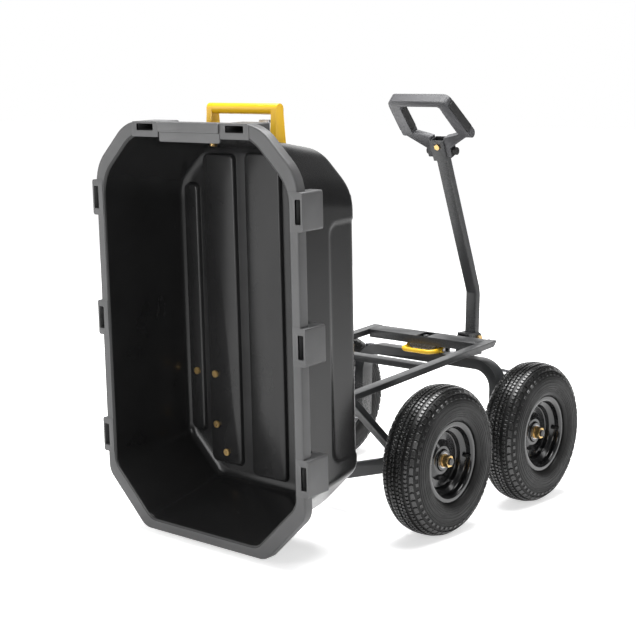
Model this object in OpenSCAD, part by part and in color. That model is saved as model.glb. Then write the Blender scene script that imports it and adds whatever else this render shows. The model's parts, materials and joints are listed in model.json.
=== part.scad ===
// Tipping dump cart: a moulded tub on a steel chassis with four pneumatic wheels.
// X points forward to the pull handle, Y to the left, Z up; the wheels stand on Z = 0.
// The tub is drawn tipped up against its stop, the wheels straight ahead.

/* [Wheels] */
// Outside diameter of the tyres
tyre_d = 330; // [300:1:360]
// Width of the tyres
tyre_w = 94; // [84:1:100]
// Thickness of the tyre's rubber
tyre_wall = 8; // [5:0.5:10]
// Width of the grooves round the tread
tread_groove_w = 4; // [3:0.5:6]
// Depth of the grooves round the tread at the crown
tread_groove_h = 4; // [2:0.5:5]
// Diameter of the seat for the tyre's bead
bead_d = 156; // [150:1:160]
// Outside diameter of the rim flanges
rim_flange_d = 178; // [174:1:186]
// Width of the rim over its flanges
rim_w = 72; // [66:1:76]
// Thickness of the rim's sheet steel
rim_sheet = 3; // [2:0.5:4]
// Outside diameter of the hub tube
hub_d = 46; // [42:1:52]
// Reach of the hub to the outside of the wheel's middle plane
hub_out = 14; // [10:1:18]
// Reach of the hub to the inside of the wheel's middle plane
hub_in = 42; // [38:1:44]
// Outside diameter of the wheel bearings
bearing_d = 35; // [32:0.5:37]
// Width of a wheel bearing
bearing_w = 11; // [8:0.5:13]
// Diameter of the spindles
spindle_d = 16; // [14:0.5:18]
// Size of the spindle nuts across their flats
nut_af = 24; // [22:0.5:28]
// Height of the spindle nuts
nut_h = 13; // [10:0.5:15]
// Thickness of the spindle washers
washer_t = 2.5; // [1.5:0.1:3.5]
// Diameter of the valve stems
valve_d = 8; // [6:0.5:9]
// Length of the valve stems
valve_l = 20; // [14:1:24]
// Distance from the rear axle to the front axle
wheelbase = 380; // [370:1:420]
// Distance between the middle planes of a pair of wheels
track = 594; // [588:1:620]

/* [Tub] */
// Depth of the tub from its rim to the underside of its floor
tub_depth = 228; // [200:1:250]
// Reach of the rim ahead of the tub's origin
rim_front = 426; // [416:1:436]
// Reach of the rim behind the tub's origin
rim_rear = 453; // [440:1:456]
// Width of the rim
rim_width = 564; // [550:1:580]
// Width of the rim's flange outside the wall
rim_flange = 20; // [16:1:26]
// Height of the rim's turned down skirt
rim_skirt = 24; // [16:1:34]
// Reach of the floor ahead of the tub's origin
floor_front = 362; // [350:1:380]
// Reach of the floor behind the tub's origin
floor_rear = 388; // [376:1:400]
// Width of the floor
floor_width = 492; // [480:1:500]
// Thickness of the tub's wall
tub_wall = 5; // [3:0.5:7]
// Radius between the floor and the walls
floor_round = 22; // [16:1:30]
// Bevel of the rim's front corners in plan
front_bevel = 97; // [80:1:110]
// Bevel of the rim's rear corners in plan
rear_bevel = 108; // [90:1:120]
// Radius on the front corners of the plan
front_round = 90; // [60:1:96]
// Radius on the rear corners of the plan
rear_round = 40; // [20:1:46]
// Height of the raised floor panels
panel_h = 8; // [4:0.5:12]
// Length of the pockets along the side of the rim
pocket_l = 76; // [60:1:84]
// Depth of the pocket blocks below the rim
pocket_h = 62; // [50:1:70]
// How far a pocket block stands out of the rim
pocket_proud = 11; // [10:1:16]
// Length of the slot in a pocket
slot_l = 48; // [40:1:54]
// Width of the slot in a pocket
slot_w = 14; // [10:0.5:16]
// Radius on the corners of the floor panels
panel_round = 14; // [8:1:18]
// Height of the rim's middle above the ground with the tub tipped
rim_centre_z = 463; // [455:1:475]
// Tipped angle of the tub from the level
tip_angle = 93.3; // [85:0.1:95]

/* [Tub handle] */
// Length of the lifting handle
lift_l = 196; // [170:1:220]
// Thickness of the lifting handle's bar
lift_bar = 23; // [19:1:27]
// Width of the lifting handle's feet
lift_foot = 15; // [12:1:20]
// Distance of the lifting handle's outside from the tub's front wall
lift_stand = 83; // [60:1:100]
// Height of the lifting handle's middle above the tub's underside
lift_height = 60; // [50:1:80]
// Diameter of the lifting handle's bolts
lift_bolt_d = 8; // [6:0.5:10]

/* [Chassis] */
// Width of the rails
rail_w = 25; // [22:1:30]
// Height of the rails
rail_h = 14; // [12:0.5:18]
// Wall of the rails and of the other tubes
tube_wall = 2; // [1.5:0.1:3]
// Distance between the middles of the rails
rail_mid_w = 345; // [335:1:355]
// Length of the rails ahead of the tub's hinge
rail_len = 608; // [604:1:616]
// Slope of the rails, rising to the front
rail_slope = 5.5; // [3:0.1:7]
// Distance of the tub's hinge behind the rear axle
hinge_back = 207; // [200:1:214]
// Height of the tub's hinge above the ground
hinge_z = 303; // [297:1:320]
// Diameter of the hinge pins
hinge_pin_d = 8; // [6:0.5:9]
// Thickness of the hinge ears
ear_t = 4; // [3:0.5:6]
// Thickness of the plates under the tub's floor
bed_plate_t = 3; // [2:0.5:5]
// Diameter of the bolts through the tub's floor
bed_bolt_d = 8; // [6:0.5:10]
// Distance of the front floor bolts ahead of the hinge
bed_bolt_front = 24; // [20:1:32]
// Distance of the middle floor bolts behind the hinge
bed_bolt_mid = 92; // [84:1:100]
// Distance of the rear floor bolts behind the hinge
bed_bolt_rear = 153; // [145:1:160]
// Distance of the struts' upper ends ahead of the hinge
strut_ahead = 55; // [48:1:62]
// Distance of the rear cross bar from the tub's hinge
bar_from = 323; // [310:1:340]
// Depth of the front cross member along the rails
cross_l = 50; // [46:1:54]
// Height of the front cross member
cross_h = 21; // [18:0.5:24]
// Distance of the front cross member from the tub's hinge
cross_from = 553; // [548:1:556]
// Width of the saddle between cross member and front axle
saddle_w = 64; // [56:1:70]
// Depth of the front axle's tube along the cart
arch_w = 40; // [34:1:42]
// Thickness of the front axle's tube
arch_t = 25; // [20:1:27]
// Height of the front axle's upper face
arch_top = 322; // [316:1:324]
// Distance of the front axle's legs from the middle
arch_leg = 203; // [198:1:204]
// Radius of the front axle's bends at the middle of the tube
arch_bend = 55; // [40:1:70]
// Height of the foot of the front axle's legs
arch_foot = 130; // [124:1:134]
// Depth of the rear beam along the cart
beam_w = 38; // [32:1:44]
// Height of the rear beam's section
beam_t = 32; // [26:1:36]
// Height of the rear beam's low middle
beam_low = 98; // [85:1:110]
// Reach of the rear beam from the middle to its end
beam_end = 236; // [230:1:238]
// Width of the struts
strut_w = 25; // [20:1:32]
// Thickness of the struts
strut_t = 16; // [12:1:20]

/* [Release lever] */
// Diameter of the lever's rod
lever_rod_d = 8; // [6:0.5:10]
// Diameter of the lever's coated loop
lever_bar_d = 11; // [8:0.5:13]
// Width of the lever's loop
lever_w = 96; // [86:1:98]
// Reach of the loop behind its rod
lever_reach = 40; // [34:1:46]
// Drop of the loop below its rod
lever_drop = 3; // [1:0.5:6]
// Distance of the lever's rod from the rear of the cross member
lever_ahead = 20; // [19:0.5:21]
// Drop of the lever's rod below the cross member
lever_down = 11.5; // [10.5:0.5:12]
// Thickness of the lever's bracket
bracket_t = 3; // [2:0.5:4]
// Width of the slot for the latch in the cross member
notch_w = 32; // [28:1:36]
// Thickness of the latch hook
hook_t = 8; // [6:0.5:9]
// Diameter of the striker's rod
striker_d = 8; // [6:0.5:9]
// Distance of the striker ahead of the lever's rod
striker_ahead = 15; // [14:0.5:17]
// Width of the striker's foot under the tub
striker_foot = 132; // [120:1:144]
// Length of the striker's foot along the tub
striker_foot_l = 34; // [26:1:40]
// Diameter of the spring's wire
spring_wire = 2; // [1.4:0.1:2.4]
// Middle diameter of the spring's curls
spring_d = 15; // [13.5:0.5:17]
// Distance from one curl of the spring to the next
spring_pitch = 2.8; // [2.6:0.1:3.2]

/* [Steering] */
// Distance of the steering pin ahead of the front axle
steer_ahead = 45; // [42:1:50]
// Diameter of the steering pin
steer_pin_d = 16; // [14:0.5:18]
// Diameter of the steering boss
steer_boss_d = 32; // [28:1:34]
// Thickness of the yoke's plates
yoke_t = 5.8; // [4:0.1:6]
// Length of the steering arms
steer_arm = 60; // [54:1:66]
// Distance of the kingpins from the middle
kingpin_y = 229; // [228:0.5:231]
// Diameter of the kingpins
kingpin_d = 16; // [12:0.5:18]
// Diameter of the kingpin bosses
kingpin_boss_d = 30; // [26:1:32]
// Height of the kingpin bosses
kingpin_boss_h = 70; // [60:1:74]
// Thickness of the knuckles' ears
knuckle_t = 8; // [6:0.5:10]
// Thickness of the steering arms
arm_t = 6; // [4:0.5:7]
// Diameter of the link pins
link_pin_d = 10; // [8:0.5:12]
// Distance of a steering arm outside its kingpin
arm_out = 9; // [8:0.5:10]
// Thickness of the knuckles' outer plates
knuckle_plate_t = 6; // [4:0.5:7]
// Length of the knuckles' outer plates along the cart
knuckle_plate_l = 40; // [34:1:46]
// Width of metal round the link pins
eye_wall = 7; // [5:0.5:8]
// Height of the steering boss above the front axle
boss_up = 8; // [6:0.5:10]
// Diameter of the steering links
link_d = 8; // [6:0.5:10]

/* [Pull handle] */
// Distance of the handle's hinge ahead of the front axle
grip_hinge_ahead = 191; // [186:1:196]
// Height of the handle's hinge
grip_hinge_z = 333; // [331:1:338]
// Width of the handle's tube across the cart
shaft_w = 32; // [28:1:34]
// Depth of the handle's tube along the cart
shaft_t = 22; // [18:1:24]
// Height of the bend in the handle
shaft_bend_z = 455; // [440:1:470]
// Backward lean of the handle above its bend
shaft_lean = 23.5; // [20:0.5:26]
// Length of the handle above its bend
shaft_upper = 382; // [370:1:394]
// Diameter of the handle's bolts
handle_bolt_d = 12; // [10:0.5:13]
// Length of the handle's tube below its hinge
shaft_foot = 18; // [15:0.5:20]
// Width of metal round the handle's hinge bolt
hinge_wall = 10; // [8:0.5:11]
// Length of the yoke's ears behind the handle's hinge
yoke_ear_l = 45; // [40:1:50]
// Diameter of the clevis bolt
clevis_bolt_d = 8; // [6:0.5:9]
// Distance of the grip's pin above the end of the tube
grip_pin_up = 14; // [12:0.5:16]
// Thickness of the clevis
clevis_t = 4; // [3:0.5:5]
// Length of the clevis below the end of the tube
clevis_over = 8; // [6:0.5:12]
// Length of the clevis above the end of the tube
clevis_rise = 46; // [40:1:50]
// Distance of the clevis bolt above the end of the tube
clevis_bolt_up = 30; // [28:0.5:32]
// Height of the grip loop's knees above its pin
knee_up = 50; // [44:1:56]
// Backward lean of the grip loop above its knees
grip_lean = 48; // [40:1:54]
// Height of the grip loop above its knees
grip_h = 123; // [110:1:136]
// Width of the grip loop at its knees
grip_w = 200; // [190:1:214]
// Width of the grip loop at its top
grip_top_w = 168; // [156:1:176]
// Thickness of the grip loop
grip_t = 24; // [20:1:26]
// Width of the side bars of the grip loop
grip_bar = 27; // [24:1:30]
// Width of the top bar of the grip loop
grip_top_bar = 20; // [16:1:24]
// Width of the grip loop's arms beside the clevis
grip_arm = 14; // [11:0.5:16]
// Thickness of the grip's pads
pad_t = 3; // [2:0.5:4]

/* [Hidden] */
// Fits and overruns
run_gap = 0.05;
side_gap = 0.3;
bore_gap = 0.3;
over = 2;
clear = 3;
open_gap = 0.4;
skin = 0.01;
curve_steps = 10;
$fn = 48;

// Wheels
tyre_r = tyre_d / 2;
bead_r = bead_d / 2;
rim_flange_r = rim_flange_d / 2;
wheel_y = track / 2;
bulge_share = 0.45;
bulge_r = bead_r + (tyre_r - bead_r) * bulge_share;
bead_w = tyre_wall + rim_sheet / 3;
bead_half = rim_w / 2 - rim_sheet - rim_sheet / 3;
shoulder_power = 0.72;
tread_groove_shares = [-0.2, 0, 0.2];
drop_r = bead_r - 4 * rim_sheet;
drop_half = rim_w / 2 - 8 * rim_sheet;
dish_r = drop_r * 0.67;
dish_rise = 3 * rim_sheet;
spindle_r = spindle_d / 2;
nut_r = nut_af / 2 / cos(30);
washer_r = nut_af * 0.62;
spindle_end = hub_out + washer_t + nut_h + spindle_r / 2;
valve_r = valve_d / 2;

// Tub
rim_sheet_t = tub_wall * 0.8;
wall_front = rim_front - rim_flange;
wall_rear = rim_rear - rim_flange;
wall_half = rim_width / 2 - rim_flange;
bevel_shrink = 0.85;
round_steps = 4;
pocket_share = 0.615;
side_pockets = [-rim_front * pocket_share, 0, rim_front * pocket_share];
front_pocket_share = 0.443;
front_pocket_y = rim_width / 2 * front_pocket_share;
lip_w = rim_width * 0.3;
lip_drop = rim_flange * 0.75;
lip_h = tub_wall * 0.8;
centre_panel_share = 0.2;
side_panel_shares = [0.33, 0.7];
rib_panel_shares = [0.78, 0.945];
panel_front_shares = [0.96, 0.945, 0.76];
panel_rear_shares = [0.945, 0.91, 0.74];
hinge_w = -(rail_h / 2 + bed_plate_t + side_gap);
hinge_u = -(rim_centre_z - hinge_z - (tub_depth - hinge_w) * cos(tip_angle)) / sin(tip_angle);
bolt_head_d = 2 * bed_bolt_d;
bolt_head_h = bed_bolt_d / 2;
rail_y = rail_mid_w / 2;
bolt_y_shares = [0.8455, 0.618, 0.504];
bolt_y = [for (k = bolt_y_shares) floor_width / 2 * k];
bed_bolts_uv = [
    [hinge_u + bed_bolt_front, bolt_y[0]],
    [hinge_u + bed_bolt_front, bolt_y[1]],
    [hinge_u - bed_bolt_mid, bolt_y[1]],
    [hinge_u - bed_bolt_rear, bolt_y[2]]
];

// Lifting handle
lift_bolt_y = lift_l / 2 - lift_foot / 2;
lift_reach = lift_wall(lift_height) + lift_stand;
lift_root = lift_bar * 0.75;

// Chassis
hinge_x = -hinge_back;
hinge_pin_r = hinge_pin_d / 2;
ear_in = rail_w / 2 + side_gap;
ear_r = hinge_pin_r + 2 * ear_t;
front_x = wheelbase;
arch_low = arch_top - arch_t;
cross_x0 = hinge_x + cross_from * cos(rail_slope);
saddle_x1 = hinge_x + (cross_from + cross_l) * cos(rail_slope);
cross_low = rail_h / 2 - cross_h;
strut_top = [hinge_x + strut_ahead, hinge_z - rail_h / 2];
beam_path = [
    [-beam_end, tyre_r],
    [-beam_end * 0.91, tyre_r * 0.97],
    [-beam_end * 0.635, beam_low + (tyre_r - beam_low) * 0.42],
    [-beam_end * 0.233, beam_low],
    [beam_end * 0.233, beam_low],
    [beam_end * 0.635, beam_low + (tyre_r - beam_low) * 0.42],
    [beam_end * 0.91, tyre_r * 0.97],
    [beam_end, tyre_r]
];
pad_share = 0.6;

// Release lever
lever_x = cross_x0 + lever_ahead;
lever_z = rail_z(lever_x, cross_low) - lever_down;
lever_rod_r = lever_rod_d / 2;
bracket_r = lever_rod_r + 1.5 * bracket_t;
slot_end = cross_from + cross_l - 3 * tube_wall;
striker_x = lever_x + striker_ahead;
hook_side = lever_rod_d;
spring_curls = 5;
spring_rings = 8;
spring_sides = 6;
bracket_y = lever_w / 2 - lever_bar_d / 2 - over - bracket_t - clear;
web_x = lever_x - bracket_r - clear - bracket_t;
saddle_x0 = lever_x + bracket_r + clear;

// Steering
steer_x = front_x + steer_ahead;
yoke_top = arch_low - 2 * side_gap;
yoke_low = yoke_top - yoke_t;
boss_z1 = arch_top + boss_up;
grip_hinge_x = front_x + grip_hinge_ahead;
yoke_half = shaft_w / 2 + side_gap + ear_t;
link_pin_x = steer_x + steer_arm;
kingpin_r = kingpin_d / 2;
boss_low = tyre_r - kingpin_boss_h / 2;
boss_high = tyre_r + kingpin_boss_h / 2;
knuckle_plate_y = kingpin_y + kingpin_boss_d / 2 + clear;
arm_y = kingpin_y + arm_out;
link_h = link_d + over;
drag_low = yoke_top + side_gap;
tie_low = yoke_low - side_gap - link_h;
eye_r = link_pin_d / 2 + eye_wall;

// Pull handle
handle_bolt_r = handle_bolt_d / 2;
hinge_eye_r = handle_bolt_r + hinge_wall;
shaft_dir = [-sin(shaft_lean), cos(shaft_lean)];
shaft_bend = [grip_hinge_x, shaft_bend_z];
shaft_end = shaft_bend + shaft_upper * shaft_dir;
grip_pin = shaft_end + grip_pin_up * shaft_dir;
grip_pin_r = handle_bolt_d / 2;
clevis_half = shaft_w / 2 + clevis_t;
clevis_depth = shaft_t / 2 + clevis_t;
foot_swing = norm([shaft_foot, shaft_t / 2]);

// The part's origin lies under the middle of its box
rear_reach = hinge_x + (rim_front - hinge_u) * cos(tip_angle)
    - (tub_depth + lip_h - hinge_w) * sin(tip_angle);
front_reach = grip_hinge_x + shaft_foot;
origin_x = (rear_reach + front_reach) / 2;

// Colours of the finishes
tub_colour = [0.16, 0.16, 0.17];
yellow = [0.98, 0.76, 0.05];
frame_grey = [0.27, 0.28, 0.29];
zinc_yellow = [0.78, 0.6, 0.3];
steel = [0.6, 0.6, 0.62];
rubber_black = [0.06, 0.06, 0.06];
rim_black = [0.09, 0.09, 0.09];

// Outlines and helpers

function unit(v) = v / norm(v);

function fillet(p0, p1, p2, r, n) =
    let (a = unit(p0 - p1), b = unit(p2 - p1), half = acos(a * b) / 2)
    let (c = p1 + unit(a + b) * r / sin(half))
    let (s = p1 + a * r / tan(half) - c, e = p1 + b * r / tan(half) - c)
    let (a0 = atan2(s[1], s[0]), turn = (atan2(e[1], e[0]) - a0 + 540) % 360 - 180)
    [for (i = [0:n]) c + r * [cos(a0 + turn * i / n), sin(a0 + turn * i / n)]];

function rounded(p, r, n = round_steps) =
    let (m = len(p))
    [for (i = [0:m - 1])
        each fillet(p[(i + m - 1) % m], p[i], p[(i + 1) % m], is_list(r) ? r[i] : r, n)];

// A bar of even thickness along a path in a plane, as a closed outline
function side_point(path, i, off) =
    let (m = len(path) - 1)
    let (d0 = i > 0 ? unit(path[i] - path[i - 1]) : unit(path[1] - path[0]))
    let (d1 = i < m ? unit(path[i + 1] - path[i]) : unit(path[m] - path[m - 1]))
    let (n0 = [-d0[1], d0[0]], n1 = [-d1[1], d1[0]], k = 1 + n0 * n1)
    path[i] + (n0 + n1) * off / k;

function ribbon(path, t) = concat(
    [for (i = [0:len(path) - 1]) side_point(path, i, t / 2)],
    [for (i = [len(path) - 1:-1:0]) side_point(path, i, -t / 2)]
);

// Draws an outline given in X and Z, thickened across the cart
module across(w, y = 0) translate([0, y + w / 2, 0]) rotate([90, 0, 0]) linear_extrude(w) children();

// Draws an outline given in Y and Z, thickened along the cart
module along(w, x = 0) translate([x - w / 2, 0, 0]) rotate([90, 0, 90]) linear_extrude(w) children();

// A cylinder from one point to another
module bar_between(p, q, r) {
    d = q - p;
    translate(p)
        rotate([0, acos(d[2] / norm(d)), atan2(d[1], d[0])])
            cylinder(r = r, h = norm(d));
}

module pin_y(x, z, r, y0, y1) translate([x, y0, z]) rotate([-90, 0, 0]) cylinder(r = r, h = y1 - y0);

module pin_z(x, y, r, z0, z1) translate([x, y, z0]) cylinder(r = r, h = z1 - z0);

module box_at(x0, x1, y0, y1, z0, z1) translate([x0, y0, z0]) cube([x1 - x0, y1 - y0, z1 - z0]);

// Moves the whole cart to the part's origin
module placed() translate([-origin_x, 0, 0]) children();

// Places of the tub and of the rails about the tub's hinge
module tub_pose() translate([hinge_x, 0, hinge_z]) rotate([0, -tip_angle, 0])
    translate([-hinge_u, 0, -hinge_w]) children();

module rail_pose() translate([hinge_x, 0, hinge_z]) rotate([0, -rail_slope, 0]) children();

function rail_z(x, off) = hinge_z + (x - hinge_x) * tan(rail_slope) + off / cos(rail_slope);

// Tub

function plan(front, rear, half, fb, rb) = [
    [front, fb - half], [front, half - fb], [front - fb, half], [rb - rear, half],
    [-rear, half - rb], [-rear, rb - half], [rb - rear, -half], [front - fb, -half]
];

// Radii on the corners of the plan, in the plan's order
function plan_rounds(less) =
    let (f = front_round - less, r = rear_round - less)
    [f, f, f, r, r, r, r, f];

function mix(a, b, t) = a + (b - a) * t;

// Plan of the wall at a height, drawn in by an inset
function wall_plan(w, inset) =
    let (t = w / tub_depth, k = mix(bevel_shrink, 1, t))
    rounded(plan(
        mix(floor_front, wall_front, t) - inset,
        mix(floor_rear, wall_rear, t) - inset,
        mix(floor_width / 2, wall_half, t) - inset,
        front_bevel * k - inset * 0.4,
        rear_bevel * k - inset * 0.4
    ), plan_rounds(0));

rim_plan = rounded(plan(rim_front, rim_rear, rim_width / 2, front_bevel, rear_bevel), plan_rounds(0));

module tub_body(inset, low, round_r, top) hull() {
    for (a = [0, 30, 60, 90])
        translate([0, 0, low + round_r * (1 - cos(a))])
            linear_extrude(skin)
                polygon(wall_plan(low + round_r * (1 - cos(a)), inset + round_r * (1 - sin(a))));
    translate([0, 0, top - skin]) linear_extrude(skin) polygon(wall_plan(top, inset));
}

// One raised panel between two shares of the floor's half width
module panel(side_shares, i, inset, z0, z1) {
    front = floor_front * panel_front_shares[i] - inset;
    rear = inset - floor_rear * panel_rear_shares[i];
    y0 = floor_width / 2 * side_shares[0] + inset;
    y1 = floor_width / 2 * side_shares[1] - inset;
    translate([0, 0, z0]) linear_extrude(z1 - z0)
        polygon(rounded([[front, y0], [front, y1], [rear, y1], [rear, y0]], panel_round));
}

module panels(inset, z0, z1) {
    panel([-centre_panel_share, centre_panel_share], 0, inset, z0, z1);
    for (s = [0, 1]) mirror([0, s, 0]) {
        panel(side_panel_shares, 1, inset, z0, z1);
        panel(rib_panel_shares, 2, inset, z0, z1);
    }
}

// The slot of a pocket at the rim, with its mouth up
module pocket_slot() box_at(-slot_l / 2, slot_l / 2, -slot_w / 2, slot_w / 2,
    tub_depth - pocket_h + tub_wall, tub_depth + over);

module pocket_places() {
    for (s = [0, 1], u = side_pockets) mirror([0, s, 0]) translate([u, rim_width / 2, 0]) children();
    for (s = [0, 1]) mirror([0, s, 0]) translate([rim_front - pocket_proud, front_pocket_y, 0])
        rotate([0, 0, -90]) children();
}

module lift_bolt_places() for (s = [-1, 1])
    translate([lift_wall(lift_height), s * lift_bolt_y, lift_height])
        rotate([0, 90 + lift_slant, 0]) children();

// The front wall's outside at a height, and its slant
function lift_wall(w) = mix(floor_front, wall_front, w / tub_depth);
lift_slant = atan((wall_front - floor_front) / tub_depth);

module bed_bolt_places() for (s = [0, 1], p = bed_bolts_uv) mirror([0, s, 0]) translate(p) children();

module tub() color(tub_colour) tub_pose() difference() {
    union() {
        difference() {
            union() {
                tub_body(0, 0, floor_round, tub_depth);
                translate([0, 0, tub_depth - rim_skirt]) linear_extrude(rim_skirt) polygon(rim_plan);
                pocket_places() box_at(-pocket_l / 2, pocket_l / 2, -rim_flange, pocket_proud,
                    tub_depth - pocket_h, tub_depth);
            }
            tub_body(tub_wall, tub_wall, floor_round - tub_wall, tub_depth + over);
            skirt_groove();
            pocket_places() pocket_slot();
        }
        panels(0, tub_wall / 2, tub_wall + panel_h);
        front_lip();
    }
    panels(tub_wall, -over, panel_h);
    bed_bolt_places() translate([0, 0, -over])
        cylinder(d = bed_bolt_d + 2 * bore_gap, h = panel_h + tub_wall + 2 * over);
    lift_bolt_places() cylinder(d = lift_bolt_d + 2 * bore_gap, h = 4 * tub_wall, center = true);
}

// The hollow between the rim's skirt and the wall, open below
module skirt_groove() difference() {
    translate([0, 0, tub_depth - rim_skirt - over]) linear_extrude(rim_skirt + over - rim_sheet_t)
        polygon(rounded(plan(rim_front - rim_sheet_t, rim_rear - rim_sheet_t,
            rim_width / 2 - rim_sheet_t, front_bevel - rim_sheet_t / 2, rear_bevel - rim_sheet_t / 2),
            plan_rounds(rim_sheet_t)));
    tub_body(0, 0, floor_round, tub_depth);
    pocket_places() box_at(-pocket_l / 2, pocket_l / 2, -rim_flange, pocket_proud,
        tub_depth - pocket_h - over, tub_depth);
}

module front_lip() {
    box_at(wall_front - tub_wall - lip_drop, wall_front, -lip_w / 2, lip_w / 2,
        tub_depth - rim_sheet_t, tub_depth);
    box_at(wall_front, rim_front, -lip_w / 2, lip_w / 2, tub_depth - rim_sheet_t, tub_depth + lip_h);
}

module tub_handle() color(yellow) tub_pose() difference() {
    union() {
        translate([lift_reach - lift_bar / 2, -lift_l / 2, lift_height]) rotate([-90, 0, 0])
            cylinder(d = lift_bar, h = lift_l);
        for (s = [0, 1]) mirror([0, s, 0]) across(lift_foot, lift_bolt_y) polygon([
            [lift_wall(lift_height - lift_root), lift_height - lift_root],
            [lift_reach - lift_bar, lift_height - lift_bar / 2],
            [lift_reach - lift_bar / 2, lift_height - lift_bar / 2],
            [lift_reach - lift_bar / 2, lift_height + lift_bar / 2],
            [lift_reach - lift_bar, lift_height + lift_bar / 2],
            [lift_wall(lift_height + lift_root), lift_height + lift_root]
        ]);
    }
    lift_bolt_places() cylinder(d = lift_bolt_d + 2 * run_gap, h = lift_bar);
}

module tub_handle_bolts() color(zinc_yellow) tub_pose() lift_bolt_places() {
    translate([0, 0, -tub_wall - skin]) cylinder(d = lift_bolt_d, h = tub_wall + lift_bar - over);
    translate([0, 0, -tub_wall - lift_bolt_d * 0.6]) cylinder(d = 2 * lift_bolt_d, h = lift_bolt_d * 0.6);
}

module bed_plate(side) {
    inner = bolt_y[2] - bolt_head_d;
    outer = max(bolt_y[0] + bolt_head_d * 0.8, rail_y + ear_in + ear_t);
    u0 = hinge_u + bed_bolt_front;
    difference() {
        mirror([0, side, 0]) {
            translate([0, 0, -bed_plate_t]) linear_extrude(bed_plate_t) polygon([
                [u0 + bolt_head_d * 2, bolt_y[1] - bolt_head_d],
                [u0 + bolt_head_d * 2, outer], [hinge_u - ear_r, outer],
                [hinge_u - bed_bolt_mid - bolt_head_d, rail_y],
                [hinge_u - bed_bolt_rear - bolt_head_d, bolt_y[1]],
                [hinge_u - bed_bolt_rear - bolt_head_d, inner], [hinge_u - bed_bolt_mid, inner]
            ]);
            for (y = [rail_y - ear_in - ear_t / 2, rail_y + ear_in + ear_t / 2]) across(ear_t, y)
                intersection() {
                    union() {
                        translate([hinge_u, hinge_w]) circle(ear_r);
                        translate([hinge_u - ear_r, hinge_w]) square(2 * ear_r);
                    }
                    translate([hinge_u - ear_r, -bed_plate_t / 2 - 4 * ear_r]) square(4 * ear_r);
                }
        }
        bed_bolt_places() translate([0, 0, -over - bed_plate_t])
            cylinder(d = bed_bolt_d + 2 * bore_gap, h = bed_plate_t + 2 * over);
        translate([hinge_u, -track, hinge_w]) rotate([-90, 0, 0])
            cylinder(r = hinge_pin_r + run_gap, h = 2 * track);
    }
}

module bed_plate_left() color(frame_grey) tub_pose() bed_plate(0);

module bed_plate_right() color(frame_grey) tub_pose() bed_plate(1);

module bed_bolts() color(zinc_yellow) tub_pose() bed_bolt_places() {
    low = -bed_plate_t - bolt_head_h;
    translate([0, 0, low]) cylinder(d = bed_bolt_d * 1.7, h = bolt_head_h, $fn = 6);
    translate([0, 0, low + skin])
        cylinder(d = bed_bolt_d, h = bed_plate_t + tub_wall + panel_h + bolt_head_h);
    translate([0, 0, tub_wall + panel_h]) cylinder(d = bolt_head_d, h = bolt_head_h);
}

// A strap under the floor reaches forward to a staple in the cross member's slot
striker_u = hinge_u + (striker_x - hinge_x) / cos(rail_slope);
striker_back = floor_front - floor_round - striker_foot_l;
striker_leg = notch_w / 2 - striker_d / 2 - over;
striker_w = -(bed_plate_t + side_gap + cross_h / 2);

module tub_striker() color(steel) tub_pose() {
    box_at(striker_back, striker_back + striker_foot_l, -striker_foot / 2, striker_foot / 2, -bed_plate_t, 0);
    box_at(striker_back, striker_u + striker_d / 2, -striker_leg - striker_d / 2,
        striker_leg + striker_d / 2, -bed_plate_t, 0);
    for (s = [-1, 1]) translate([striker_u, s * striker_leg, striker_w])
        cylinder(d = striker_d, h = -striker_w - bed_plate_t / 2);
    translate([striker_u, -striker_leg - striker_d * 0.6, striker_w]) rotate([-90, 0, 0])
        cylinder(d = striker_d, h = 2 * striker_leg + striker_d * 1.2);
}

// Chassis

module rail(y) translate([0, y, 0]) difference() {
    union() {
        box_at(0, rail_len, -rail_w / 2, rail_w / 2, -rail_h / 2, rail_h / 2);
        rotate([90, 0, 0]) cylinder(d = rail_h, h = rail_w, center = true);
    }
    box_at(rail_h, rail_len - 2 * rail_h, tube_wall - rail_w / 2, rail_w / 2 - tube_wall,
        tube_wall - rail_h / 2, rail_h / 2 - tube_wall);
    rotate([90, 0, 0]) cylinder(r = hinge_pin_r + run_gap, h = 2 * rail_w, center = true);
    across(2 * rail_w) polygon([[rail_len - rail_h, -rail_h / 2 - over], [rail_len + over, rail_h / 2],
        [rail_len + over, -rail_h / 2 - over]]);
}

module rail_left() color(frame_grey) rail_pose() rail(rail_y);

module rail_right() color(frame_grey) rail_pose() rail(-rail_y);

// A tube between the rails, its top in line with theirs
module tube_across(from, l, h) difference() {
    half = rail_y - rail_w / 2;
    box_at(from, from + l, -half, half, rail_h / 2 - h, rail_h / 2);
    box_at(from + tube_wall, from + l - tube_wall, -half - over, half + over,
        rail_h / 2 - h + tube_wall, rail_h / 2 - tube_wall);
}

module rear_cross_bar() color(frame_grey) rail_pose() tube_across(bar_from, rail_w, rail_h);

// The latch and the striker meet in a slot through the front cross member
module front_cross_plate() color(frame_grey) rail_pose() difference() {
    tube_across(cross_from, cross_l, cross_h);
    box_at(cross_from + tube_wall, slot_end, -notch_w / 2, notch_w / 2, cross_low - over, rail_h);
}

module axle_saddle() color(frame_grey) across(saddle_w) polygon([
    [saddle_x0, arch_top], [saddle_x1, arch_top],
    [saddle_x1, rail_z(saddle_x1, cross_low)], [saddle_x0, rail_z(saddle_x0, cross_low)]
]);

// Middle line of the front axle's tube, left half from the middle outwards
arch_mid = arch_top - arch_t / 2;
arch_half = concat(
    [for (i = [0:curve_steps]) [arch_leg - arch_bend + arch_bend * sin(90 * i / curve_steps),
        arch_mid - arch_bend + arch_bend * cos(90 * i / curve_steps)]],
    [[arch_leg, arch_foot]]
);

function arch_path(foot) = concat(
    [for (i = [len(arch_half) - 1:-1:0]) [-arch_half[i][0], max(arch_half[i][1], foot)]],
    [for (p = arch_half) [p[0], max(p[1], foot)]]
);

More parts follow.
